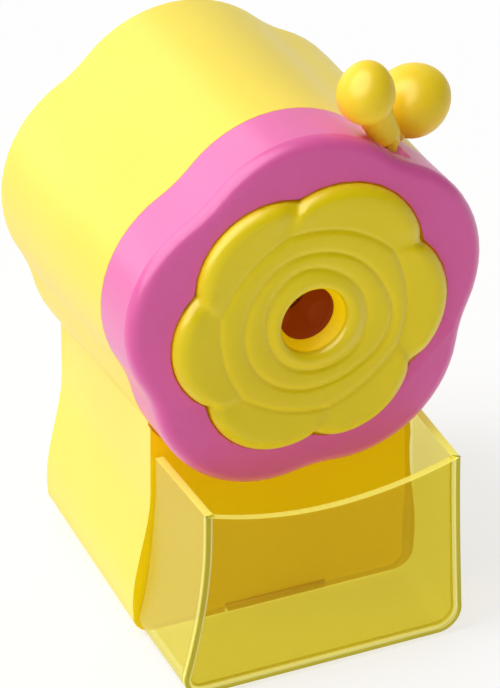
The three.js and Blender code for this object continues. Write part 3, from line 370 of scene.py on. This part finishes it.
def moulded_copy(node, material, edge, segments=2, rounds=None):
    """A copy of a solid that stands for it, with edges rounded to a radius in millimetres."""
    sharp = math.radians(32)
    shape = bmesh.new()
    shape.from_mesh(nodes[node].data)
    bmesh.ops.remove_doubles(shape, verts=shape.verts, dist=1e-6)
    bmesh.ops.dissolve_limit(shape, angle_limit=math.radians(0.5), verts=shape.verts, edges=shape.edges)
    mesh = bpy.data.meshes.new(node + "_moulded")
    weight = shape.edges.layers.float.new("bevel_weight_edge")
    for side in shape.edges:
        middle = (side.verts[0].co + side.verts[1].co) / 2
        corner = side.is_manifold and side.calc_face_angle() > sharp
        side[weight] = (rounds(middle) if rounds else 1.0) if corner else 0.0
    shape.to_mesh(mesh)
    shape.free()
    piece = add_piece(mesh.name, mesh, material, body_of[node])
    if edge:
        rounding = piece.modifiers.new("mould_radius", "BEVEL")
        rounding.width = edge * MM
        rounding.segments = segments
        rounding.limit_method = "WEIGHT"
        rounding.miter_outer = "MITER_ARC"
        rounding.harden_normals = True
    mesh.set_sharp_from_angle(angle=sharp)
    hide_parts(node)
    return piece


seam_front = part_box("body_shell")[1].y
seam_back = seam_front + 0.3 * MM
mouth_front = head_high.y
mouth_back = mouth_front + 0.3 * MM


def off_the_seams(middle):
    """How much an edge is rounded: the edges along the joint lines stay nearly crisp."""
    at_joint = any(abs(middle.y - y) < 0.05 * MM for y in (seam_front, seam_back, mouth_front, mouth_back))
    return 0.15 if at_joint else 1.0


def close_gap(piece, y, shift):
    """Moves the rim at y by shift, so that the joint line is as fine as a tool makes it."""
    for vertex in piece.data.vertices:
        if abs(vertex.co.y - y) < 0.01 * MM:
            vertex.co.y += shift


shell = moulded_copy("body_shell", [body_yellow, front_painted_shade], 0.5, rounds=off_the_seams)
cover = moulded_copy("rear_cover", body_yellow, 0.7, segments=3, rounds=off_the_seams)
head = moulded_copy("head_cover", [head_pink, pocket_painted_glow, slot_painted_glow], 0.3, rounds=off_the_seams)
close_gap(cover, seam_back, -0.31 * MM)
close_gap(head, mouth_front, 0.2 * MM)

# Painted shade and painted light: the front wall of the shell and foot stands in shade, and gets a deeper,
# more saturated copy of the body's yellow with a faint glow.
shell_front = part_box("body_shell")[0].y
front_wall = 2.3 * MM
for face in shell.data.polygons:
    in_front = face.center.y < shell_front + front_wall and abs(face.normal.y) > 0.5
    face.material_index = 1 if in_front else 0

# The mouth of the tongue's channel is a little lower than the channel itself.
channel_top, lower_top = 3.35 * MM, 3.1 * MM
for vertex in shell.data.vertices:
    at_mouth = vertex.co.y < shell_front + 3 * MM
    if at_mouth and abs(vertex.co.z - channel_top) < 0.02 * MM:
        vertex.co.z = lower_top

# The right side swells a little between the foot and the waist.
foot_top, waist, right_fullness = 9 * MM, 54 * MM, 2.0 * MM
for piece in (shell, cover):
    for vertex in piece.data.vertices:
        if vertex.co.x > 15 * MM and vertex.co.z < waist:
            above_foot = min(1.0, max(0.0, (vertex.co.z - foot_top) / (28 * MM)))
            below_body = min(1.0, (waist - vertex.co.z) / (8 * MM))
            vertex.co.x += right_fullness * above_foot ** 1.3 * below_body

# Painted shade and painted light: the pocket behind the rose gets a dark glowing orange, and the walls of
# the levers' slot get a glowing pink that hides their shade.
slot_line = Vector((math.cos(math.radians(55.5)), math.sin(math.radians(55.5))))
for face in head.data.polygons:
    place = Vector((face.center.x, face.center.z - axis_height))
    reach, aside = place.length, abs(place.x * slot_line.y - place.y * slot_line.x)
    depth = (face.center.y - head_low.y) / MM
    in_pocket = 0.05 < depth < 2.1 and reach < 32.4 * MM
    in_slot = depth > 4.5 and 30 * MM < reach < 38.4 * MM and aside < 5.2 * MM and place.dot(slot_line) > 0
    face.material_index = 1 if in_pocket else 2 if in_slot and abs(face.normal.y) < 0.98 else 0
print("slot faces:", sum(face.material_index == 2 for face in head.data.polygons))
for piece in (shell, cover, head):
    print(piece.name, len(piece.data.polygons), "faces")

# %% [markdown]
# ## The carved rose
#
# The plate on the front is a rose: six petals round a swirl of three rolls that fold
# down into the pencil's hole. It is turned first, as on a lathe: a profile with few
# points is spun a full turn, which gives a fine round grid. Then the grid is carved:
# each vertex is pushed out to the petals' outline and raised by the height of the roll
# that it lies on. Carving a grid keeps the surface closed and smooth.

# %% Turn a disc with a fine face
rose_low, rose_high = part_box("rose_plate")
rose_reach = (rose_high.x - rose_low.x) / 2 + 0.1 * MM
head_face = head_low.y


def wire(points):
    """A bmesh that holds one line through the points, given as x, y, z."""
    shape = bmesh.new()
    made = [shape.verts.new(point) for point in points]
    edges = [shape.edges.new(pair) for pair in zip(made, made[1:])]
    return shape, made, edges


def turned_disc(profile, fine, cuts, centre, steps):
    """Spins a closed profile of (radius, y) round a line along Y through centre."""
    points = [(centre.x, y, centre.z + radius) for radius, y in profile]
    shape, made, edges = wire(points)
    edges.append(shape.edges.new((made[-1], made[0])))
    for name, count in zip(fine, cuts):
        bmesh.ops.subdivide_edges(shape, edges=[edges[name]], cuts=count)
    bmesh.ops.spin(
        shape, geom=shape.verts[:] + shape.edges[:], cent=centre, axis=(0, 1, 0),
        angle=math.tau, steps=steps, use_merge=True, use_normal_flip=False)
    bmesh.ops.remove_doubles(shape, verts=shape.verts, dist=1e-7)
    bmesh.ops.recalc_face_normals(shape, faces=shape.faces)
    return shape


rose_centre = Vector((0, 0, axis_height))
hole_reach, bore_reach, collar_reach = 7.4 * MM, 6.2 * MM, 9.6 * MM
lip_y, throat_y = head_face - 0.8 * MM, head_face + 2.2 * MM
disc = turned_disc([
    (bore_reach, rose_high.y), (bore_reach, throat_y), (hole_reach, lip_y), (rose_reach, lip_y),
    (rose_reach, head_face + 1.6 * MM), (collar_reach, head_face + 1.6 * MM), (collar_reach, rose_high.y),
], fine=(1, 2, 3), cuts=(6, 118, 3), centre=rose_centre, steps=360)
print("turned disc:", len(disc.verts), "vertices")


# %% The outline and the swirl, as plain functions of the angle
notches = (97, 157, 214, 271, 325, 387)
notch_reach = 28.2 * MM


def within_petal(degrees):
    """How far round its petal an angle is, from 0 to 1, and that petal's half width."""
    degrees = (degrees - notches[0]) % 360 + notches[0]
    bounds = notches + (notches[0] + 360,)
    start, end = next(pair for pair in zip(bounds, bounds[1:]) if degrees <= pair[1])
    return (degrees - start) / (end - start), (end - start) / 2


def outline(degrees):
    """The rose's edge: each petal is an arc through its two notches and its crest."""
    share, half = within_petal(degrees)
    away = math.radians((share * 2 - 1) * half)
    flat = math.cos(math.radians(half))
    centre = (rose_reach ** 2 - notch_reach ** 2) / (2 * (rose_reach - notch_reach * flat))
    arc = rose_reach - centre
    return centre * math.cos(away) + math.sqrt(arc ** 2 - (centre * math.sin(away)) ** 2)


def bump_at(degrees, middle, width):
    """1 at the middle angle, falling softly to 0 at about twice the width."""
    away = (degrees - middle + 180) % 360 - 180
    return math.exp(-((away / width) ** 2))


def rings(degrees):
    """The radii of the three creases between the rolls, outermost first."""
    corner = abs(within_petal(degrees - 9)[0] * 2 - 1) ** 2.4
    outer = 21.1 + 0.8 * corner
    middle = 15.9 + 2.3 * bump_at(degrees, 345, 30) + 0.7 * bump_at(degrees, 112, 26)
    inner = 11.6 + 1.6 * bump_at(degrees, 107, 32) + 0.9 * bump_at(degrees, 328, 38)
    inner -= 0.9 * bump_at(degrees, 205, 46)
    return outer * MM, middle * MM, inner * MM


print("petal crest and notch:", round(outline(127) / MM, 1), round(outline(157) / MM, 1), "mm")

# %% [markdown]
# A roll is a soft ridge that climbs quickly from the crease outside it and sinks slowly
# towards the next one. The petals' free edges are rounded over, and where two petals
# meet, one tucks under the other along a crease that drifts round as it runs inwards.

# %% Carve it
def smooth(t):
    t = min(1.0, max(0.0, t))
    return t * t * (3 - 2 * t)


# Heights of the carving in front of the head's face, in millimetres.
PETAL_CREST, PETAL_FALL = 2.5, 0.55
ROLL_FOOT, ROLL_SWELL = 1.95, 0.32
LIP_SWELL, LIP_DROP = 0.6, 1.6


def roll(t):
    """Height over a roll, from 0 at its outer crease to 0 at its inner one."""
    return math.sin(math.pi * t ** 0.8) if 0 < t < 1 else 0.0


def crease(away):
    """Depth of the soft line along the edge of a roll, for a distance from the line."""
    return 0.26 * math.exp(-((away / (0.62 * MM)) ** 2))


def petal_height(reach, degrees, edge, outer):
    over = min(1.0, (edge - reach) / (3.4 * MM))
    height = PETAL_CREST * math.sqrt(max(0.0, 1 - (1 - over) ** 2))
    run = min(1.0, max(0.0, (edge - reach) / (edge - outer)))
    height -= PETAL_FALL * smooth((run - 0.3) / 0.7)
    drift = 1 + 1.4 * (notch_reach - reach) / MM
    nearest = min(notches, key=lambda n: abs((degrees - n - drift + 180) % 360 - 180))
    away = math.radians((degrees - nearest - drift + 180) % 360 - 180) * reach / MM
    width = 1.0 if away < 0 else 3.6
    return height - (1.15 - 1.05 * run) * math.exp(-((away / width) ** 2))


def rose_height(reach, degrees):
    """How far the carved face stands in front of the head's face, in millimetres."""
    edge = outline(degrees)
    lines = rings(degrees)
    outer, middle, inner = lines
    sunk = sum(crease(reach - line) for line in lines)
    if reach > outer:
        return petal_height(reach, degrees, edge, outer) - sunk
    if reach > middle:
        return ROLL_FOOT + ROLL_SWELL * roll((outer - reach) / (outer - middle)) - sunk
    if reach > inner:
        return ROLL_FOOT + ROLL_SWELL * roll((middle - reach) / (middle - inner)) - sunk
    t = (inner - reach) / (inner - hole_reach)
    turned_in = max(0.0, (t - 0.55) / 0.45)
    drop = LIP_DROP * (1 - math.sqrt(max(0.0, 1 - turned_in ** 2)))
    return ROLL_FOOT + LIP_SWELL * smooth(t / 0.6) - drop - sunk


for vertex in disc.verts:
    flat = Vector((vertex.co.x, 0, vertex.co.z - axis_height))
    reach = flat.length
    if reach <= hole_reach + 1e-7:
        continue
    degrees = math.degrees(math.atan2(flat.z, flat.x))
    if reach > collar_reach + 1e-6 or vertex.co.y < head_face:
        share = (reach - hole_reach) / (rose_reach - hole_reach)
        reach = hole_reach + share * (outline(degrees) - hole_reach)
        flat = flat.normalized() * reach
    on_face = abs(vertex.co.y - lip_y) < 1e-7
    y = head_face - rose_height(reach, degrees) * MM if on_face else vertex.co.y
    vertex.co = (flat.x, y, axis_height + flat.z)
# Painted shade and painted light: the bore gets the throat's dark glowing brown, and the mouth's wall gets
# the glowing yellow.
for face in disc.faces:
    middle = face.calc_center_median()
    reach = math.hypot(middle.x, middle.z - axis_height)
    face.material_index = 1 if reach < bore_reach + 0.05 * MM else 2 if reach < hole_reach else 0
rose_mesh = bpy.data.meshes.new("carved_rose")
disc.to_mesh(rose_mesh)
disc.free()
rose_plastics = [rose_yellow, throat_painted_shade, mouth_painted_glow]
rose = add_piece("carved_rose", rose_mesh, rose_plastics, "head")
rose_mesh.set_sharp_from_angle(angle=math.radians(50))
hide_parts("rose_plate")
print("carved rose:", len(rose_mesh.polygons), "faces")

# %% [markdown]
# ## The two golden grips
#
# The levers end in two glossy egg shapes with a short thick neck. An egg is a sphere
# stretched along one axis and pinched a little towards one end. The neck is a turned
# shape that widens as it runs into the egg, the way a mould-maker blends two forms.

# %% Eggs and necks
def egg(name, node, lean, pinch):
    low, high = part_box(node)
    centre = (low + high) / 2
    across = (high.y - low.y) / 2
    tall = max(high.x - low.x, high.z - low.z) / 2
    shape = bmesh.new()
    bmesh.ops.create_uvsphere(shape, u_segments=64, v_segments=40, radius=1)
    for vertex in shape.verts:
        squeeze = 1 - pinch * vertex.co.z
        vertex.co = (vertex.co.x * across * squeeze, vertex.co.y * across * squeeze, vertex.co.z * tall)
    turn = Matrix.Rotation(math.radians(90 - lean), 4, "Y")
    bmesh.ops.transform(shape, matrix=Matrix.Translation(centre) @ turn, verts=shape.verts)
    mesh = bpy.data.meshes.new(name)
    shape.to_mesh(mesh)
    shape.free()
    piece = add_piece(name, mesh, grip_gold, body_of[node])
    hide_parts(node)
    return centre


def neck(name, foot, top, body, base, flare, widen):
    """A turned neck from foot to top: a round knuckle that flares into the egg."""
    run = top - foot
    steps = 24
    curve = []
    for i in range(steps + 1):
        height = run.length * (i / steps) ** 1.4
        swell = base + (flare - base) * (height / run.length) ** 2
        dome = min(1.0, height / (base * 0.5))
        curve.append((swell * math.sqrt(1 - (1 - dome) ** 2), 0, height))
    line, made, edges = wire(curve)
    bmesh.ops.spin(
        line, geom=line.verts[:] + line.edges[:], cent=(0, 0, 0), axis=(0, 0, 1),
        angle=math.tau, steps=40, use_merge=True)
    rim = [e for e in line.edges if e.is_boundary]
    bmesh.ops.holes_fill(line, edges=rim, sides=0)
    bmesh.ops.remove_doubles(line, verts=line.verts, dist=1e-7)
    bmesh.ops.recalc_face_normals(line, faces=line.faces)
    along = run.normalized()
    across = Vector((0, 1, 0)).cross(along).normalized()
    behind = along.cross(across)
    place = Matrix((across * widen, behind, along)).transposed().to_4x4()
    bmesh.ops.transform(line, matrix=Matrix.Translation(foot) @ place, verts=line.verts)
    mesh = bpy.data.meshes.new(name)
    line.to_mesh(mesh)
    line.free()
    return add_piece(name, mesh, grip_gold, body)


def over_the_slot(degrees, reach, behind):
    """A point above the slot in the head, at an angle and reach round the axis."""
    turn = math.radians(degrees)
    x, z = reach * MM * math.cos(turn), reach * MM * math.sin(turn)
    return Vector((x, head_face + behind * MM, axis_height + z))


left_centre = egg("left_egg", "left_ball_grip", 83, 0.08)
right_centre = egg("right_egg", "right_ball_grip", 25, 0.05)
neck("left_neck", over_the_slot(59.1, 39.0, 7.7), left_centre, "left_lever", 2.5 * MM, 3.4 * MM, 1.35)
neck("right_neck", over_the_slot(53.9, 39.0, 13.5), right_centre, "right_lever", 2.9 * MM, 4.4 * MM, 1.2)
for node in ("left_lever", "right_lever"):
    moulded_copy(node, grip_gold, 0.3)
print("eggs at", [round(c / MM, 1) for c in left_centre], [round(c / MM, 1) for c in right_centre])

# %% [markdown]
# ## The clear bin
#
# The bin is one moulded sheet 1.8 mm thick: two sides that curve out at the foot, a
# floor, and a front whose rim dips so that the head can pass over it. So it is made as
# a sheet: its outline seen from the front is extruded backwards, the front is closed,
# and a Solidify modifier gives the thickness. That modifier can give the inner wall and
# the rims materials of their own, so the list of materials has three parts: outside,
# inside and rims. The fine lines along the front corners are strips of the outside.

# %% The bin's sheet
bin_low, bin_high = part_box("clear_bin")
bin_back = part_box("body_shell")[0].y - 0.3 * MM
bin_dip = 5 * MM
bin_thick = 1.8 * MM
WALL_STEPS, CORNER_STEPS, DIP_STEPS = 24, 12, 40


def side_profile(top, flare, bow, start, corner):
    """One side, from the rim down: a wall that bows outwards into a round foot corner."""
    slope = math.atan2(flare * bow, start - bin_low.z - corner)
    end = bin_low.z + corner * (1 + math.sin(slope))
    line = [(top, bin_high.z)] if start < bin_high.z else []
    for i in range(WALL_STEPS + 1):
        line.append((top + flare * (i / WALL_STEPS) ** bow, start + (end - start) * i / WALL_STEPS))
    middle = top + flare - corner * math.cos(slope)
    for i in range(1, CORNER_STEPS + 1):
        turn = slope - (slope + math.pi / 2) * i / CORNER_STEPS
        line.append((middle + corner * math.cos(turn), bin_low.z + corner + corner * math.sin(turn)))
    return line


left_top, right_top = 28.5 * MM, 30.6 * MM
left_side = side_profile(left_top, 4.5 * MM, 1.8, 39 * MM, 4.6 * MM)
right_side = side_profile(right_top, 2.45 * MM, 1.25, bin_high.z, 5.4 * MM)
around = [(-x, z) for x, z in left_side] + [(x, z) for x, z in reversed(right_side)]
sheet, rim, edges = wire([(x, bin_low.y, z) for x, z in around])
dip = [rim[-1]]
for i in range(1, DIP_STEPS):
    across = 1 - 2 * i / DIP_STEPS
    x = across * (right_top if across > 0 else left_top)
    dip.append(sheet.verts.new((x, bin_low.y, bin_high.z - bin_dip * (1 - across ** 2))))
dip.append(rim[0])
top_edges = [sheet.edges.new(pair) for pair in zip(dip, dip[1:])]
back = bmesh.ops.extrude_edge_only(sheet, edges=edges)["geom"]
moved = [v for v in back if isinstance(v, bmesh.types.BMVert)]
bmesh.ops.translate(sheet, vec=(0, bin_back - bin_low.y, 0), verts=moved)
for vertex in moved:
    outwards, over = (-0.8 * MM, 24 * MM) if vertex.co.x < 0 else (1.3 * MM, 20 * MM)
    vertex.co.x += outwards * smooth((vertex.co.z - 8 * MM) / over)
bmesh.ops.contextual_create(sheet, geom=edges + top_edges)
bmesh.ops.recalc_face_normals(sheet, faces=sheet.faces)
front = max(sheet.faces, key=lambda f: len(f.verts))
if front.normal.y > 0:
    bmesh.ops.reverse_faces(sheet, faces=sheet.faces)
wall_at, dense_at, pale_at, back_at, painted_sheen_at = range(5)
line_depths = [0.45 * MM, 1.25 * MM, 1.6 * MM, bin_back - bin_low.y - 0.35 * MM]


def border(width):
    """Cuts a border of this width round what is left of the front, and returns its faces."""
    return bmesh.ops.inset_region(sheet, faces=[front], thickness=width, use_even_offset=True)["faces"]


dense_border = border(1.0 * MM)
pale_border = border(0.4 * MM)
for depth in line_depths:
    parts = sheet.verts[:] + sheet.edges[:] + sheet.faces[:]
    cut_at = (0, bin_low.y + depth, 0)
    bmesh.ops.bisect_plane(sheet, geom=parts, plane_co=cut_at, plane_no=(0, 1, 0), dist=1e-7)
for face in sheet.faces:
    depth = face.calc_center_median().y - bin_low.y
    lines = sum(depth > line for line in line_depths)
    turned_back = abs(face.normal.y) < 0.5
    # Painted sheen: the outer face of the left wall, which faces the light, gets the paler, glossier copy
    # behind the corner lines.
    side = painted_sheen_at if face.normal.x < -0.5 else wall_at
    face.material_index = (dense_at, pale_at, dense_at, side, back_at)[lines] if turned_back else wall_at
for face in dense_border:
    face.material_index = dense_at
for face in pale_border:
    face.material_index = pale_at
bin_mesh = bpy.data.meshes.new("clear_bin_sheet")
sheet.to_mesh(bin_mesh)
sheet.free()
outside = [bin_wall, bin_dense, bin_painted_highlight, bin_back_edge, bin_painted_sheen]
inside = [bin_wall, bin_wall, bin_wall, bin_back_edge, bin_wall]
rims = [bin_rim, bin_rim, bin_rim, bin_back_edge, bin_rim]
bin_plastics = outside + inside + rims
bin_sheet = add_piece("clear_bin_sheet", bin_mesh, bin_plastics, "bin")
thick = bin_sheet.modifiers.new("wall", "SOLIDIFY")
thick.thickness = bin_thick
thick.offset = -1
thick.use_even_offset = True
thick.material_offset = len(outside)
thick.material_offset_rim = len(outside + inside)
rounding = bin_sheet.modifiers.new("soft_edges", "BEVEL")
rounding.width = 0.55 * MM
rounding.segments = 3
rounding.limit_method = "ANGLE"
rounding.angle_limit = math.radians(40)
rounding.material = -1
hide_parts("clear_bin")
bin_mesh.set_sharp_from_angle(angle=math.radians(40))
print("bin sheet:", len(bin_mesh.polygons), "faces,", round((bin_back - bin_low.y) / MM, 1), "mm deep")

# %% [markdown]
# The bin is held by a flat tongue that slides into a channel under the body. It is made
# from a cube by scaling, its back end is narrower so that it finds the channel, and all
# its edges are rounded.

# %% The bin's tongue
tongue_width, tongue_thick = 24 * MM, 1.5 * MM
tongue = bmesh.new()
bmesh.ops.create_cube(tongue, size=1)
length = bin_high.y - bin_back + 0.6 * MM
bmesh.ops.scale(tongue, vec=(tongue_width, length, tongue_thick), verts=tongue.verts)
bmesh.ops.translate(tongue, vec=(0, bin_high.y - length / 2, bin_low.z + 1.2 * MM), verts=tongue.verts)
for vertex in tongue.verts:
    if vertex.co.y > bin_back + 10 * MM:
        vertex.co.x *= 0.86
bmesh.ops.bevel(
    tongue, geom=tongue.edges[:], offset=0.35 * MM, segments=3, affect="EDGES", profile=0.5, material=-1)
tongue_mesh = bpy.data.meshes.new("bin_tongue")
tongue.to_mesh(tongue_mesh)
tongue.free()
add_piece("bin_tongue", tongue_mesh, bin_key, "bin")
print("tongue:", round(length / MM, 1), "mm long")

# %% [markdown]
# ## The crank, the screws and the works inside
#
# The parts at the back, under the foot and inside the head come from lathes, presses and
# moulds as well, so their edges are broken too: a wide radius on the handle that a hand
# holds, a hair's width on screws and jaws. The feed springs are plain copies of the coiled wire.

# %% Finishes by the name of each material slot
# The dark plastic and the jaws get the painted shade and glow of the hole's throat.
finish_of = {
    "body_plastic": body_yellow, "rose_plastic": rose_yellow, "head_plastic": head_pink,
    "knob_plastic": head_pink, "grip_plastic": grip_gold, "clear_plastic": bin_wall,
    "dark_plastic": brown_painted_shade, "amber_plastic": jaw_painted_shade, "steel": bright_steel,
    "dark_steel": tool_steel, "brass": bush_brass, "rubber": foot_rubber.material,
}
small_edges = {
    "crank_arm": 0.7, "crank_knob": 0.8, "knob_pin": 0.25, "crank_screw": 0.2, "crank_bush": 0.3,
    "crank_shaft": 0.15, "base_plate": 0.4, "head_plate": 0.3, "shavings_chute": 0.25, "jaw_guide": 0.2,
    "guide_rod_left": 0.3, "guide_rod_right": 0.3, "rod_clip_left": 0.12, "rod_clip_right": 0.12,
    "rod_bush_left": 0.3, "rod_bush_right": 0.3,
}
small_edges.update({f"cover_screw_{i}": 0.18 for i in (1, 2, 3, 4)})
small_edges.update({f"base_screw_{i}": 0.18 for i in (1, 2, 3, 4)})
small_edges.update({f"rubber_foot_{i}": 0.5 for i in (1, 2, 3, 4)})
small_edges.update({f"jaw_{i}": 0.12 for i in (1, 2, 3)})
for node, edge in small_edges.items():
    moulded_copy(node, finish_of[slot_of[node]], edge, segments=3 if edge > 0.35 else 2)
for side in ("left", "right"):
    node = "feed_spring_" + side
    low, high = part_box(node)
    spring = moulded_copy(node, bright_steel, 0)
    middle = (low + high) / 2
    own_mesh(spring)
print("broken edges on", len(small_edges), "solids, and two springs")

# %% The solids themselves get the same finishes
for node, solid in nodes.items():
    solid.data.materials.clear()
    solid.data.materials.append(finish_of[slot_of[node]])
print("finishes given to", len(nodes), "solids")

# %% [markdown]
# ## Floor and light
#
# The floor is a plain pale sweep. The light is soft and comes from above and the left,
# a little from behind, so the top and the left are bright and the front is in gentle
# shade.

# %% Floor and light
floor_mesh = bpy.data.meshes.new("floor")
grid = bmesh.new()
bmesh.ops.create_grid(grid, x_segments=1, y_segments=1, size=6)
grid.to_mesh(floor_mesh)
grid.free()
floor = bpy.data.objects.new("floor", floor_mesh)
bpy.context.scene.collection.objects.link(floor)
white = (1, 1, 1, 1)
paper = Finish(
    "floor_paper", roughness=0.9, specular_ior_level=0.0, emission_color=white, emission_strength=0.66)
paper.feed("Base Color", paper.blend(paper.noise(0.2), (0.34, 0.34, 0.34, 1), (0.32, 0.32, 0.32, 1)))
floor_mesh.materials.append(paper.material)

world = bpy.data.worlds.new("studio")
bpy.context.scene.world = world
world.use_nodes = True
studio = Bench(world.node_tree)
direction = studio.node("TexCoord", out="Generated")
brightest = Vector((-0.62, 0.62, 0.48))
lit_side = studio.node(
    "VectorMath", {"operation": "DOT_PRODUCT"}, {0: direction, 1: brightest}, out="Value")
glow = studio.spread(lit_side, -0.5, 0.9, 0.1, 0.95, soft=True)
studio.tree.links.new(glow.out, world.node_tree.nodes["Background"].inputs["Strength"])
world.node_tree.nodes["Background"].inputs["Color"].default_value = white


def sun(name, towards, strength, softness, for_gloss=True, for_colour=True):
    """A soft distant light from the direction `towards`, for the gloss, the colour or both."""
    data = bpy.data.lights.new(name, "SUN")
    data.energy = strength
    data.angle = math.radians(softness)
    lamp = bpy.data.objects.new(name, data)
    lamp.rotation_euler = Vector(towards).to_track_quat("Z", "Y").to_euler()
    lamp.visible_glossy = for_gloss
    lamp.visible_diffuse = for_colour
    bpy.context.scene.collection.objects.link(lamp)


sun("key", (-0.46, 0.02, 0.88), 1.35, 26, for_gloss=False)
sun("softbox", (-0.62, -0.26, 0.72), 10.5, 84, for_colour=False)
sun("back_wall", (-0.5, 0.78, 0.36), 1.5, 70, for_colour=False)
bpy.context.scene.view_settings.view_transform = "Standard"
print("floor and light are set")
